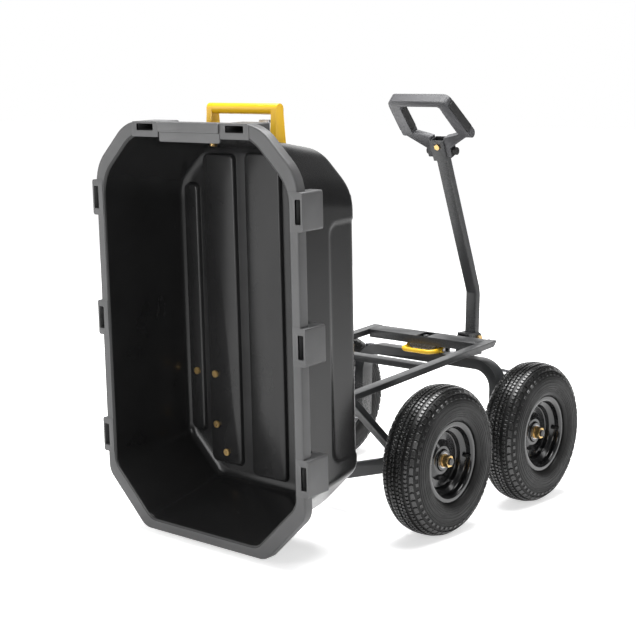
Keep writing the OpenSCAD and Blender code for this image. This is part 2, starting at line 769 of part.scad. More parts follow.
module front_arch() color(frame_grey) {
    difference() {
        union() {
            along(arch_w, front_x) polygon(ribbon(arch_path(arch_foot), arch_t));
            for (s = [-1, 1])
                pin_z(front_x, s * kingpin_y, kingpin_boss_d / 2, boss_low, boss_high);
        }
        along(arch_w - 2 * tube_wall, front_x)
            polygon(ribbon(arch_path(arch_foot + tube_wall), arch_t - 2 * tube_wall));
        for (s = [-1, 1])
            pin_z(front_x, s * kingpin_y, kingpin_r + run_gap, boss_low - over, boss_high + over);
    }
    difference() {
        union() {
            pin_z(steer_x, 0, steer_boss_d / 2, arch_low, boss_z1);
            box_at(front_x + arch_w / 2 - tube_wall, steer_x, -steer_boss_d / 3, steer_boss_d / 3,
                arch_low, arch_top);
        }
        pin_z(steer_x, 0, steer_pin_d / 2 + run_gap, arch_low - over, boss_z1 + over);
    }
}

module strut(y) {
    foot = [strut_t / 4, pad_top];
    across(strut_w, y) difference() {
        polygon(ribbon([strut_top + 0.3 * (strut_top - foot), foot - 0.3 * (strut_top - foot)], strut_t));
        polygon([[hinge_x, rail_z(hinge_x, -rail_h / 2)], [front_x, rail_z(front_x, -rail_h / 2)],
            [front_x, front_x + rail_z(front_x, 0)], [hinge_x, front_x + rail_z(front_x, 0)]]);
        translate([-wheelbase / 2, 0]) square([wheelbase, pad_top + skin]);
    }
}

// Height of the rear beam's middle line at a distance from the middle
function beam_z(y) = lookup(y, beam_path);

// Top of the pads on the rear beam that carry the struts
pad_top = beam_z(rail_y + strut_w / 2) + beam_t * pad_share;

module strut_left() color(frame_grey) strut(rail_y);

module strut_right() color(frame_grey) strut(-rail_y);

module rear_axle_beam() color(frame_grey) {
    difference() {
        along(beam_w) polygon(ribbon(beam_path, beam_t));
        along(beam_w - 2 * tube_wall) intersection() {
            polygon(ribbon(beam_path, beam_t - 2 * tube_wall));
            translate([tube_wall - beam_end, 0]) square([2 * (beam_end - tube_wall), tyre_d]);
        }
    }
    for (s = [-1, 1]) mirror([0, s > 0 ? 0 : 1, 0]) {
        pin_y(0, tyre_r, spindle_r, beam_end - tube_wall, wheel_y + spindle_end);
        pin_y(0, tyre_r, spindle_r + over, beam_end - tube_wall / 2, wheel_y - hub_in - side_gap);
        box_at(-strut_w / 2, strut_w / 2, rail_y - strut_w / 2, rail_y + strut_w / 2,
            beam_z(rail_y) + beam_t / 2 - tube_wall, pad_top);
    }
}

module hinge_pins() color(steel) for (s = [0, 1]) mirror([0, s, 0]) {
    y1 = rail_y + ear_in + ear_t + side_gap;
    y0 = rail_y - ear_in - ear_t - side_gap;
    pin_y(hinge_x, hinge_z, hinge_pin_r, y0 - skin, y1 + skin);
    pin_y(hinge_x, hinge_z, hinge_pin_r * 1.6, y1, y1 + hinge_pin_r * 0.7);
    pin_y(hinge_x, hinge_z, hinge_pin_r * 1.6, y0 - hinge_pin_r * 0.7, y0);
}

// Two ears and the web behind them, hung under the cross member
module lever_bracket() color(frame_grey) {
    x1 = lever_x + bracket_r;
    for (s = [0, 1]) mirror([0, s, 0]) difference() {
        across(bracket_t, bracket_y + bracket_t / 2) {
            translate([lever_x, lever_z]) circle(bracket_r);
            polygon([[web_x, lever_z], [x1, lever_z], [x1, rail_z(x1, cross_low)],
                [web_x, rail_z(web_x, cross_low)]]);
        }
        pin_y(lever_x, lever_z, lever_rod_r + run_gap, 0, 2 * bracket_y);
    }
    across(2 * bracket_y + bracket_t) polygon([[web_x, lever_z], [web_x + bracket_t, lever_z],
        [web_x + bracket_t, rail_z(web_x + bracket_t, cross_low)], [web_x, rail_z(web_x, cross_low)]]);
}

// Spring round the lever rod, one wire swept along a helix
spring_count = spring_curls * spring_rings;
spring_y0 = bracket_y - side_gap - spring_wire / 2;

function spring_point(i) = [
    lever_x + spring_d / 2 * cos(360 * i / spring_rings),
    spring_y0 - spring_pitch * i / spring_rings,
    lever_z + spring_d / 2 * sin(360 * i / spring_rings)
];

// Ring of the wire: one way out from the rod, the other along it
function spring_ring(i) =
    let (a = 360 * i / spring_rings)
    [for (k = [0:spring_sides - 1])
        let (b = 360 * k / spring_sides)
        spring_point(i) + spring_wire / 2 * (cos(b) * [cos(a), 0, sin(a)] + sin(b) * [0, 1, 0])];

spring_gap = spring_pitch - spring_wire;
echo(spring_gap_to_itself = spring_gap);

module lever_spring() color(steel) {
    n = spring_count;
    m = spring_sides;
    points = [for (i = [0:n]) each spring_ring(i)];
    sides = [for (i = [0:n - 1], k = [0:m - 1]) each [
        [i * m + k, i * m + (k + 1) % m, (i + 1) * m + k],
        [i * m + (k + 1) % m, (i + 1) * m + (k + 1) % m, (i + 1) * m + k]
    ]];
    caps = [for (k = [1:m - 2]) each [[0, k + 1, k], [n * m, n * m + k, n * m + k + 1]]];
    polyhedron(points, concat(sides, caps));
}

// Spindle nuts

module spindle_nut(x) {
    y0 = wheel_y + hub_out + side_gap;
    difference() {
        union() {
            pin_y(x, tyre_r, washer_r, y0, y0 + washer_t);
            translate([x, y0 + washer_t - skin, tyre_r]) rotate([-90, 0, 0])
                cylinder(r = nut_r, h = nut_h, $fn = 6);
        }
        pin_y(x, tyre_r, spindle_r + run_gap, y0 - over, y0 + washer_t + nut_h + over);
    }
}

module rear_nuts() color(zinc_yellow) for (s = [0, 1]) mirror([0, s, 0]) spindle_nut(0);

module front_nut_left() color(zinc_yellow) spindle_nut(front_x);

module front_nut_right() color(zinc_yellow) mirror([0, 1, 0]) spindle_nut(front_x);

// Release lever

lever_slope = asin(lever_drop / lever_reach);
lever_path = [
    [0, lever_w / 2], [-lever_reach * 0.75, lever_w * 0.47], [-lever_reach, lever_w * 0.36],
    [-lever_reach, -lever_w * 0.36], [-lever_reach * 0.75, -lever_w * 0.47], [0, -lever_w / 2]
];

module release_lever() color(yellow) difference() {
    union() {
        translate([lever_x, 0, lever_z]) rotate([0, -lever_slope, 0]) translate([0, 0, -lever_bar_d / 2])
            linear_extrude(lever_bar_d) polygon(ribbon(lever_path, lever_bar_d));
        for (s = [0, 1]) mirror([0, s, 0]) pin_y(lever_x, lever_z, lever_bar_d / 2 + over,
            lever_w / 2 - lever_bar_d / 2, lever_w / 2 + lever_bar_d / 2);
    }
    pin_y(lever_x, lever_z, lever_rod_r + run_gap, -lever_w, lever_w);
}

module latch_hook() color(steel) {
    end = lever_w / 2 + lever_bar_d / 2 + lever_rod_r / 2;
    top = rail_z(lever_x, rail_h / 2 - hook_t / 4);
    nose = striker_x - striker_d / 2 - over / 2;
    pin_y(lever_x, lever_z, lever_rod_r, -end, end);
    across(hook_t) {
        translate([lever_x, lever_z]) circle(hook_side);
        polygon([[lever_x - lever_rod_r, lever_z], [lever_x + lever_rod_r, lever_z],
            [lever_x + lever_rod_r, top - hook_t / 2], [nose, top - hook_t / 2],
            [nose, top], [lever_x - lever_rod_r, top]]);
    }
}

// Steering

module steering_yoke() color(frame_grey) difference() {
    union() {
        box_at(steer_x - steer_boss_d / 2, grip_hinge_x + shaft_foot, -yoke_half, yoke_half,
            yoke_low, yoke_top);
        for (y = [-1, 1]) across(ear_t, y * (yoke_half - ear_t / 2)) {
            translate([grip_hinge_x, grip_hinge_z]) circle(hinge_eye_r);
            polygon([[grip_hinge_x - yoke_ear_l, yoke_low], [grip_hinge_x + shaft_foot, yoke_low],
                [grip_hinge_x + hinge_eye_r, grip_hinge_z],
                [grip_hinge_x, grip_hinge_z + hinge_eye_r],
                [grip_hinge_x - yoke_ear_l * 0.8, grip_hinge_z + hinge_eye_r]]);
        }
        box_at(grip_hinge_x - yoke_ear_l * 0.8, grip_hinge_x - foot_swing - side_gap, -yoke_half,
            yoke_half, grip_hinge_z + hinge_eye_r - ear_t, grip_hinge_z + hinge_eye_r);
        box_at(steer_x + steer_boss_d / 2 + over, steer_x + steer_boss_d / 2 + over + yoke_t,
            -steer_boss_d / 2, steer_boss_d / 2, yoke_low, boss_z1 + side_gap + yoke_t);
        box_at(steer_x, steer_x + steer_boss_d / 2 + over + yoke_t, -steer_boss_d / 2, steer_boss_d / 2,
            boss_z1 + side_gap, boss_z1 + side_gap + yoke_t);
        pin_z(steer_x, 0, steer_boss_d / 2, boss_z1 + side_gap, boss_z1 + side_gap + yoke_t);
    }
    pin_z(steer_x, 0, steer_pin_d / 2 + run_gap, yoke_low - over, boss_z1 + 2 * yoke_t);
    pin_z(link_pin_x, 0, link_pin_d / 2 + run_gap, yoke_low - over, yoke_top + over);
    pin_y(grip_hinge_x, grip_hinge_z, handle_bolt_r + run_gap, -2 * yoke_half, 2 * yoke_half);
}

// The steering pin and the pin of the two links that the yoke carries
module steering_pin() color(steel) {
    top = boss_z1 + side_gap + yoke_t;
    pin_z(steer_x, 0, steer_pin_d / 2, yoke_low - skin, top + skin);
    pin_z(steer_x, 0, steer_pin_d * 0.8, top, top + steer_pin_d / 3);
    pin_z(steer_x, 0, steer_pin_d * 0.8, yoke_low - steer_pin_d / 3, yoke_low);
    pin_z(link_pin_x, 0, link_pin_d / 2, tie_low, drag_low + link_h);
}

module link_eye(x, y, z0, z1, gap) difference() {
    pin_z(x, y, eye_r, z0, z1);
    pin_z(x, y, link_pin_d / 2 + gap, z0 - over, z1 + over);
}

// A link from the yoke to the right knuckle, which stays parallel to itself
module steering_link(low) {
    far_x = front_x + steer_arm;
    p = [link_pin_x, 0, low + link_h / 2];
    q = [far_x, -kingpin_y, low + link_h / 2];
    d = unit(q - p);
    link_eye(link_pin_x, 0, low, low + link_h, run_gap);
    link_eye(far_x, -kingpin_y, low, low + link_h, open_gap);
    bar_between(p + d * (eye_r - over), q - d * (eye_r - over), link_d / 2);
}

module drag_link() color(steel) mirror([0, 1, 0]) steering_link(drag_low);

module tie_link() color(steel) steering_link(tie_low);

// Fork of a knuckle on the left, with its spindle; the arm reaches forward to a link's pin
module knuckle(link_low) {
    arm_top = link_low - side_gap;
    ear_w = kingpin_boss_d * 0.4;
    low = boss_low - side_gap - knuckle_t;
    high = boss_high + side_gap;
    for (z = [high, low]) difference() {
        union() {
            pin_z(front_x, kingpin_y, ear_w, z, z + knuckle_t);
            box_at(front_x - ear_w, front_x + ear_w, kingpin_y, knuckle_plate_y + skin, z, z + knuckle_t);
        }
        pin_z(front_x, kingpin_y, kingpin_r + run_gap, z - over, z + knuckle_t + over);
    }
    box_at(front_x - knuckle_plate_l / 2, front_x + knuckle_plate_l / 2, knuckle_plate_y,
        knuckle_plate_y + knuckle_plate_t, low, high + knuckle_t);
    pin_y(front_x, tyre_r, spindle_r, knuckle_plate_y + skin, wheel_y + spindle_end);
    pin_y(front_x, tyre_r, spindle_r + over, knuckle_plate_y + skin, wheel_y - hub_in - side_gap);
    x1 = front_x + steer_arm;
    across(arm_t, arm_y + arm_t / 2) polygon([
        [front_x - ear_w, high], [front_x + ear_w, high],
        [x1, arm_top - knuckle_t], [x1, arm_top], [front_x, high + 2 * knuckle_t]
    ]);
    difference() {
        union() {
            pin_z(x1, kingpin_y, eye_r, arm_top - knuckle_t, arm_top);
            box_at(x1, x1 + eye_r / 2, kingpin_y, arm_y + arm_t, arm_top - knuckle_t, arm_top);
        }
        pin_z(x1, kingpin_y, link_pin_d / 2, arm_top - knuckle_t - over, arm_top + over);
    }
    pin_z(x1, kingpin_y, link_pin_d / 2, arm_top - knuckle_t - over, arm_top + link_h * 0.7);
}

module knuckle_left() color(frame_grey) knuckle(drag_low);

module knuckle_right() color(frame_grey) mirror([0, 1, 0]) knuckle(tie_low);

module kingpin(y) {
    z0 = boss_low - side_gap - knuckle_t;
    z1 = boss_high + side_gap + knuckle_t;
    pin_z(front_x, y, kingpin_r, z0 - skin, z1 + skin);
    cap_r = (kingpin_r + arm_out) / 2;
    pin_z(front_x, y, cap_r, z0 - kingpin_r / 2, z0);
    pin_z(front_x, y, cap_r, z1, z1 + kingpin_r / 2);
}

module kingpin_left() color(steel) kingpin(kingpin_y);

module kingpin_right() color(steel) kingpin(-kingpin_y);

// Pull handle

shaft_path = [[grip_hinge_x, grip_hinge_z - shaft_foot], shaft_bend, shaft_end];

module handle_shaft() color(frame_grey) difference() {
    across(shaft_w) polygon(ribbon(shaft_path, shaft_t));
    across(shaft_w - 2 * tube_wall)
        polygon(ribbon([shaft_path[0] + [0, tube_wall], shaft_bend, shaft_end - tube_wall * shaft_dir],
            shaft_t - 2 * tube_wall));
    pin_y(grip_hinge_x, grip_hinge_z, handle_bolt_r + run_gap, -shaft_w, shaft_w);
}

module handle_bolt() color(zinc_yellow) {
    end = yoke_half + side_gap;
    pin_y(grip_hinge_x, grip_hinge_z, handle_bolt_r, -end - skin, end + skin);
    translate([grip_hinge_x, -end, grip_hinge_z]) rotate([90, 0, 0])
        cylinder(r = handle_bolt_r * 1.7, h = handle_bolt_r, $fn = 6);
    translate([grip_hinge_x, end, grip_hinge_z]) rotate([-90, 0, 0])
        cylinder(r = handle_bolt_r * 1.7, h = handle_bolt_r, $fn = 6);
}

// Frame at the end of the shaft: X back to front, Z along the shaft
module shaft_end_pose() translate([shaft_end[0], 0, shaft_end[1]]) rotate([0, -shaft_lean, 0]) children();

// A sleeve over the end of the shaft, open at its top
module handle_clevis() color(frame_grey) shaft_end_pose() difference() {
    box_at(-clevis_depth, clevis_depth, -clevis_half, clevis_half, -clevis_over, clevis_rise);
    box_at(-shaft_t / 2 - skin, shaft_t / 2 + skin, -shaft_w / 2 - skin, shaft_w / 2 + skin,
        -clevis_over - over, clevis_rise + over);
    translate([0, 0, grip_pin_up]) rotate([90, 0, 0])
        cylinder(r = grip_pin_r + run_gap, h = 4 * clevis_half, center = true);
    translate([0, 0, clevis_bolt_up]) rotate([0, -90, 0])
        cylinder(d = clevis_bolt_d + 2 * run_gap, h = 2 * clevis_depth);
}

module clevis_bolt() color(zinc_yellow) shaft_end_pose()
    translate([0, 0, clevis_bolt_up]) rotate([0, -90, 0]) {
        translate([0, 0, shaft_t / 2 + skin]) cylinder(d = clevis_bolt_d, h = clevis_t);
        translate([0, 0, clevis_depth]) cylinder(r = clevis_bolt_d, h = clevis_bolt_d / 2, $fn = 6);
    }

// Frame at the grip's pin, Z along the shaft, and at the loop's knees, Z up its leaning part
module grip_pose() translate([grip_pin[0], 0, grip_pin[1]]) rotate([0, -shaft_lean, 0]) children();

module knee_pose() grip_pose() translate([0, 0, knee_up]) rotate([0, shaft_lean - grip_lean, 0]) children();

side_bar_shares = [1.15, 0.95];
arm_rise_share = 0.76;
knee_y = grip_w / 2;
knee_in = knee_y - grip_bar * side_bar_shares[0];
top_y = grip_top_w / 2;
top_in = top_y - grip_bar * side_bar_shares[1];
grip_arm_in = clevis_half + side_gap;
grip_arm_out = grip_arm_in + grip_arm;
knob_r = grip_pin_r * 1.6;
corner_r = grip_top_bar * 0.8;

// Outlines of the loop above its knees and of the opening in it
loop_outer = rounded([[-knee_y, 0], [-top_y, grip_h], [top_y, grip_h], [knee_y, 0]],
    [over, corner_r, corner_r, over]);
loop_inner = rounded([[-knee_in, -over], [-top_in, grip_h - grip_top_bar],
    [top_in, grip_h - grip_top_bar], [knee_in, -over]], [over / 2, corner_r / 2, corner_r / 2, over / 2]);

module grip_loop() color(frame_grey) {
    knee_pose() along(grip_t) difference() {
        polygon(loop_outer);
        polygon(loop_inner);
    }
    for (s = [0, 1]) mirror([0, s, 0]) grip_pose() {
        translate([0, knee_in, knee_up]) rotate([-90, 0, 0])
            cylinder(d = grip_t - side_gap, h = knee_y - knee_in);
        difference() {
            along(grip_t) polygon([[grip_arm_in, -grip_t / 2], [grip_arm_out, -grip_t / 2],
                [grip_arm_out, knob_r + over], [knee_y, knee_up], [knee_in, knee_up],
                [grip_arm_in, knee_up * arm_rise_share]]);
            rotate([90, 0, 0]) cylinder(r = grip_pin_r + run_gap, h = 2 * grip_w, center = true);
        }
    }
}

// A pad along a side of the loop, from its upper end to its lower end
module side_pad(p, q) {
    d = unit(q - p);
    n = [-d[1], d[0]];
    a = p + d * grip_bar * 0.7;
    b = q - d * grip_t * 0.6;
    along(grip_t * 0.9) polygon([a, b, b + n * pad_t, a + n * pad_t]);
}

module grip_pads() color(rubber_black) knee_pose() for (s = [0, 1]) mirror([0, s, 0]) {
    side_pad([top_y, grip_h], [knee_y, 0]);
    side_pad([-top_in, grip_h - grip_top_bar], [-knee_in, -over]);
}

module grip_knob() color(rubber_black) {
    end = grip_arm_out + side_gap;
    pin_y(grip_pin[0], grip_pin[1], grip_pin_r, -end - skin, end);
    pin_y(grip_pin[0], grip_pin[1], knob_r, end - skin, end + grip_pin_r);
    pin_y(grip_pin[0], grip_pin[1], knob_r, -end - grip_pin_r * 1.8, -end);
}

// Wheels, drawn with their outside towards +Z

function tyre_side(grow) = concat(
    [for (i = [0:curve_steps]) let (a = 90 - 90 * i / curve_steps) [
        bulge_r + (tyre_r - grow - bulge_r) * pow(sin(a), shoulder_power),
        (tyre_w / 2 - grow) * pow(cos(a), shoulder_power)]],
    [for (i = [1:curve_steps]) let (a = 90 * i / curve_steps) [
        bulge_r - (bulge_r - rim_flange_r - rim_sheet / 2) * sin(a),
        mix(rim_w / 2 + rim_sheet / 3 - grow, tyre_w / 2 - grow, cos(a))]]
);

function tyre_bead(sign) = [
    [rim_flange_r + rim_sheet / 2, sign * bead_half], [bead_r, sign * bead_half],
    [bead_r, sign * (bead_half - bead_w)], [rim_flange_r, sign * (bead_half - bead_w)]
];

function flipped(p) = [for (i = [len(p) - 1:-1:0]) [p[i][0], -p[i][1]]];

function past_crown(p) = [for (i = [1:len(p) - 1]) p[i]];

function backwards(p) = [for (i = [len(p) - 1:-1:0]) p[i]];

module tyre_shape() rotate_extrude($fn = 96) difference() {
    outer = tyre_side(0);
    inner = tyre_side(tyre_wall);
    polygon(concat(
        outer, tyre_bead(1), backwards(inner), backwards(flipped(past_crown(inner))),
        flipped(tyre_bead(1)), flipped(past_crown(outer))
    ));
    for (k = tread_groove_shares)
        translate([tyre_r - tread_groove_h, k * tyre_w - tread_groove_w / 2])
            square([tread_groove_h + over, tread_groove_w]);
}

module rim_shape() rotate_extrude($fn = 96) {
    f = rim_w / 2;
    seat = bead_r - run_gap;
    lip = bead_half + rim_sheet / 3;
    under = seat - rim_sheet;
    low = drop_r - rim_sheet;
    hub_r = hub_d / 2;
    polygon([[rim_flange_r, f], [rim_flange_r, lip], [seat, lip], [seat, drop_half + 2 * rim_sheet],
        [drop_r, drop_half], [drop_r, -drop_half], [seat, -drop_half - 2 * rim_sheet], [seat, -lip],
        [rim_flange_r, -lip], [rim_flange_r, -f], [under, -f], [under, -drop_half - 2.5 * rim_sheet],
        [low, -drop_half - rim_sheet / 2], [low, -rim_sheet / 2], [dish_r * 0.98, -rim_sheet / 2],
        [dish_r * 0.68, dish_rise - rim_sheet], [hub_r, dish_rise - rim_sheet], [hub_r, -hub_in],
        [bearing_d / 2, -hub_in], [bearing_d / 2, hub_out], [hub_r, hub_out], [hub_r, dish_rise],
        [dish_r * 0.7, dish_rise], [dish_r, rim_sheet / 2], [low, rim_sheet / 2],
        [low, drop_half + rim_sheet / 2], [under, drop_half + 2.5 * rim_sheet], [under, f]]);
}

module bearing_pair() for (z = [-hub_in, hub_out - bearing_w]) translate([0, 0, z]) difference() {
    cylinder(r = bearing_d / 2 - run_gap / 2, h = bearing_w);
    translate([0, 0, -over]) cylinder(r = spindle_r + run_gap, h = bearing_w + 2 * over);
}

module valve_shape() {
    r = bead_r - run_gap - rim_sheet - valve_r - side_gap;
    translate([r, 0, drop_half + 2.5 * rim_sheet]) {
        cylinder(r = valve_r, h = valve_l * 0.4);
        cylinder(r = valve_r * 0.6, h = valve_l * 0.8);
    }
}

// Puts a wheel's shape at its axle, outside outwards
module wheel_at(x, left) translate([x, (left ? 1 : -1) * wheel_y, tyre_r])
    rotate([left ? -90 : 90, 0, 0]) children();

module tyre_rear_left() color(rubber_black) wheel_at(0, true) tyre_shape();

module tyre_rear_right() color(rubber_black) wheel_at(0, false) tyre_shape();

module tyre_front_left() color(rubber_black) wheel_at(front_x, true) tyre_shape();

module tyre_front_right() color(rubber_black) wheel_at(front_x, false) tyre_shape();

module rim_rear_left() color(rim_black) wheel_at(0, true) rim_shape();

module rim_rear_right() color(rim_black) wheel_at(0, false) rim_shape();

module rim_front_left() color(rim_black) wheel_at(front_x, true) rim_shape();

module rim_front_right() color(rim_black) wheel_at(front_x, false) rim_shape();

module bearings_rear_left() color(steel) wheel_at(0, true) bearing_pair();

module bearings_rear_right() color(steel) wheel_at(0, false) bearing_pair();

module bearings_front_left() color(steel) wheel_at(front_x, true) bearing_pair();

module bearings_front_right() color(steel) wheel_at(front_x, false) bearing_pair();

module valve_rear_left() color(rubber_black) wheel_at(0, true) valve_shape();

module valve_rear_right() color(rubber_black) wheel_at(0, false) valve_shape();

module valve_front_left() color(rubber_black) wheel_at(front_x, true) valve_shape();

module valve_front_right() color(rubber_black) wheel_at(front_x, false) valve_shape();

// Places that the record of the joints repeats
echo(origin_x = origin_x, hinge = [hinge_x, hinge_z], travel = tip_angle - rail_slope,
    lever = [lever_x, lever_z], steer = steer_x, link_pin = link_pin_x,
    kingpin = [front_x, kingpin_y], handle = [grip_hinge_x, grip_hinge_z], grip = grip_pin,
    wheel = [front_x, wheel_y, tyre_r]);

placed() tub();
placed() tub_handle();
placed() tub_handle_bolts();
placed() bed_plate_left();
placed() bed_plate_right();
placed() bed_bolts();
placed() tub_striker();
placed() rail_left();
placed() rail_right();
placed() rear_cross_bar();
placed() front_cross_plate();
placed() axle_saddle();
placed() front_arch();
placed() strut_left();
placed() strut_right();
placed() rear_axle_beam();
placed() hinge_pins();
placed() lever_bracket();
placed() lever_spring();
placed() rear_nuts();
placed() release_lever();
placed() latch_hook();
placed() steering_yoke();
placed() steering_pin();
placed() drag_link();
placed() tie_link();
placed() knuckle_left();
placed() knuckle_right();
placed() kingpin_left();
placed() kingpin_right();
placed() front_nut_left();
placed() front_nut_right();
placed() handle_shaft();
placed() handle_bolt();
placed() handle_clevis();
placed() clevis_bolt();
placed() grip_loop();
placed() grip_pads();
placed() grip_knob();
placed() tyre_rear_left();
placed() tyre_rear_right();
placed() tyre_front_left();
placed() tyre_front_right();
placed() rim_rear_left();
placed() rim_rear_right();
placed() rim_front_left();
placed() rim_front_right();
placed() bearings_rear_left();
placed() bearings_rear_right();
placed() bearings_front_left();
placed() bearings_front_right();
placed() valve_rear_left();
placed() valve_rear_right();
placed() valve_front_left();
placed() valve_front_right();
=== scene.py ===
"""Looks of the tipping dump cart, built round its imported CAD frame."""

import json
import logging
import math
from collections.abc import Callable, Iterable, Sequence
from dataclasses import dataclass, field
from enum import Enum

import bmesh
import bpy
from mathutils import Matrix, Vector


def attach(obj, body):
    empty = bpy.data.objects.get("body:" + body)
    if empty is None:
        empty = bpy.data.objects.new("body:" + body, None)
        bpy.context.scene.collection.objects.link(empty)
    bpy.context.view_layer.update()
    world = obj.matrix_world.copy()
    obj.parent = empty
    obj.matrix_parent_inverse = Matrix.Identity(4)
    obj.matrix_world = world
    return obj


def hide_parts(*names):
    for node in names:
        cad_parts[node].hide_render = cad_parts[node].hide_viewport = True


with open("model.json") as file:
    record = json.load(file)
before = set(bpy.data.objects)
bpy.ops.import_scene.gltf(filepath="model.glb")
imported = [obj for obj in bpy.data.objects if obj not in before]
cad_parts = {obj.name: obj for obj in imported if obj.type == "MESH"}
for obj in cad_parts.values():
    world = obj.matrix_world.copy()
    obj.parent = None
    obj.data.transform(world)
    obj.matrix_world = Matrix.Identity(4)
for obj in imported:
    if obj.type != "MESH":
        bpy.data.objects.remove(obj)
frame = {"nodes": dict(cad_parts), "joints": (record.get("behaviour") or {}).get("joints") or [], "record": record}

LOG = logging.getLogger("cart")
MM = 0.001
# The share of an edge that a rounded corner may take up, and the half angle past which a corner is flat.
CORNER_ROOM = 0.49
FLAT_CORNER = math.radians(89.5)
# Distances below which two points are one: in a new mesh, in its units, and in a CAD node, in metres.
SAME_POINT = 1e-7
SAME_CAD_POINT = 2e-6
# The angle below which faces of a CAD node are one face, and the angle past which an edge is broken.
SAME_FACE = math.radians(0.6)
SHARP_EDGE = math.radians(40.0)
# The angle in degrees past which the faces of most pieces meet in a crease.
CREASE = 30.0
# The radius in millimetres at which a turned outline stops short of its axis.
AXIS_R = 0.01

Point = tuple[float, float]
Place = tuple[float, float, float]
Colour = tuple[float, float, float]
Face = tuple[int, ...]
Piece = bpy.types.Object
Socket = bpy.types.NodeSocket


class Side(Enum):
    """A side of the cart, as the sign of its Y."""

    LEFT = 1
    RIGHT = -1


class Corner(Enum):
    """The four wheels."""

    REAR_LEFT = "rear_left"
    REAR_RIGHT = "rear_right"
    FRONT_LEFT = "front_left"
    FRONT_RIGHT = "front_right"

    @property
    def side(self) -> Side:
        """The side that the wheel is on."""
        return Side.LEFT if self.value.endswith("left") else Side.RIGHT


# Outlines and paths


def joint_place(name: str) -> Vector:
    """Gives the place of a joint of the frame.

    Args:
        name: The joint's name in the record.

    Returns:
        Its place in metres.
    """
    for joint in frame["joints"]:
        if joint["name"] == name:
            return Vector(joint["pos_m"])
    raise KeyError(name)


def corner_rays(before: Vector, corner: Vector, after: Vector) -> tuple[Vector, Vector, float, float]:
    """Measures a corner of a path.

    Args:
        before: The path's point before the corner.
        corner: The corner.
        after: The path's point after it.

    Returns:
        The directions back and ahead, half the angle between them, and the length that a bend may use.
    """
    back, ahead = before - corner, after - corner
    room = CORNER_ROOM * min(back.length, ahead.length)
    back, ahead = back.normalized(), ahead.normalized()
    half = math.acos(max(-1.0, min(1.0, back.dot(ahead)))) / 2
    return back, ahead, half, room


def fillet(before: Vector, corner: Vector, after: Vector, radius: float, steps: int) -> list[Vector]:
    """Rounds one corner of an outline.

    Args:
        before: The outline's point before the corner.
        corner: The corner.
        after: The outline's point after it.
        radius: The radius wished for; it shrinks where an edge is short.
        steps: The number of steps in the arc.

    Returns:
        The points of the arc.
    """
    back, ahead, half, room = corner_rays(before, corner, after)
    if half > FLAT_CORNER or radius <= 0:
        return [corner.copy() for _ in range(steps + 1)]
    radius = min(radius, room * math.tan(half))
    centre = corner + (back + ahead).normalized() * radius / math.sin(half)
    start = corner + back * radius / math.tan(half) - centre
    end = corner + ahead * radius / math.tan(half) - centre
    first = math.atan2(start.y, start.x)
    turn = (math.atan2(end.y, end.x) - first + 3 * math.pi) % (2 * math.pi) - math.pi
    arc = [first + turn * i / steps for i in range(steps + 1)]
    return [centre + radius * Vector((math.cos(t), math.sin(t))) for t in arc]


def rounded(outline: Sequence[Point], radius: float | Sequence[float], steps: int = 6) -> list[Vector]:
    """Rounds all the corners of a closed outline.

    Args:
        outline: The outline's corners.
        radius: One radius, or one for each corner.
        steps: The number of steps in each arc.

    Returns:
        The rounded outline.
    """
    points = [Vector(p) for p in outline]
    count = len(points)
    radii = [radius] * count if isinstance(radius, (int, float)) else list(radius)
    made: list[Vector] = []
    for i in range(count):
        made += fillet(points[i - 1], points[i], points[(i + 1) % count], radii[i], steps)
    return made


def rectangle(low: Point, high: Point, radius: float | Sequence[float], steps: int = 6) -> list[Vector]:
    """Gives a rectangle with rounded corners, from its low corner to its high one."""
    return rounded([low, (high[0], low[1]), high, (low[0], high[1])], radius, steps)


def rounded_path(path: Sequence[Vector], radius: float, steps: int = 8) -> list[Vector]:
    """Rounds the bends of an open path in space.

    Args:
        path: The path's corners.
        radius: The radius of each bend.
        steps: The number of steps in each bend.

    Returns:
        The rounded path.
    """
    made = [path[0].copy()]
    for before, corner, after in zip(path, path[1:], path[2:]):
        back, ahead, half, room = corner_rays(before, corner, after)
        reach = min(radius / math.tan(half), room)
        start, end = corner + back * reach, corner + ahead * reach
        for i in range(steps + 1):
            t = i / steps
            made.append(start * (1 - t) ** 2 + corner * 2 * t * (1 - t) + end * t**2)
    made.append(path[-1].copy())
    return made


def quarter(steps: int) -> list[Point]:
    """Gives the cosine and the sine at even steps from 0 to 90 degrees."""
    angles = [math.pi / 2 * i / steps for i in range(steps + 1)]
    return [(math.cos(a), math.sin(a)) for a in angles]


# Meshes


def linked(name: str, data: bpy.types.ID) -> Piece:
    """Makes an object of some data and links it to the scene.

    Args:
        name: The object's name.
        data: Its mesh, light or camera.

    Returns:
        The object.
    """
    obj = bpy.data.objects.new(name, data)
    bpy.context.scene.collection.objects.link(obj)
    return obj


def mesh_object(
    name: str, verts: Iterable[Sequence[float]], faces: Iterable[Face], slots: Sequence[int] = ()
) -> Piece:
    """Makes an object from points and faces, with its normals turned outwards.

    Args:
        name: The object's name.
        verts: The points.
        faces: The faces as rows of point numbers.
        slots: The material slot of each face, where there is more than one.

    Returns:
        The new object, linked to the scene.
    """
    mesh = bpy.data.meshes.new(name)
    mesh.from_pydata([tuple(v) for v in verts], [], list(faces))
    if slots:
        mesh.polygons.foreach_set("material_index", list(slots))
    mesh.validate()
    made = bmesh.new()
    made.from_mesh(mesh)
    bmesh.ops.remove_doubles(made, verts=made.verts, dist=SAME_POINT)
    bmesh.ops.recalc_face_normals(made, faces=made.faces)
    made.to_mesh(mesh)
    made.free()
    return linked(name, mesh)


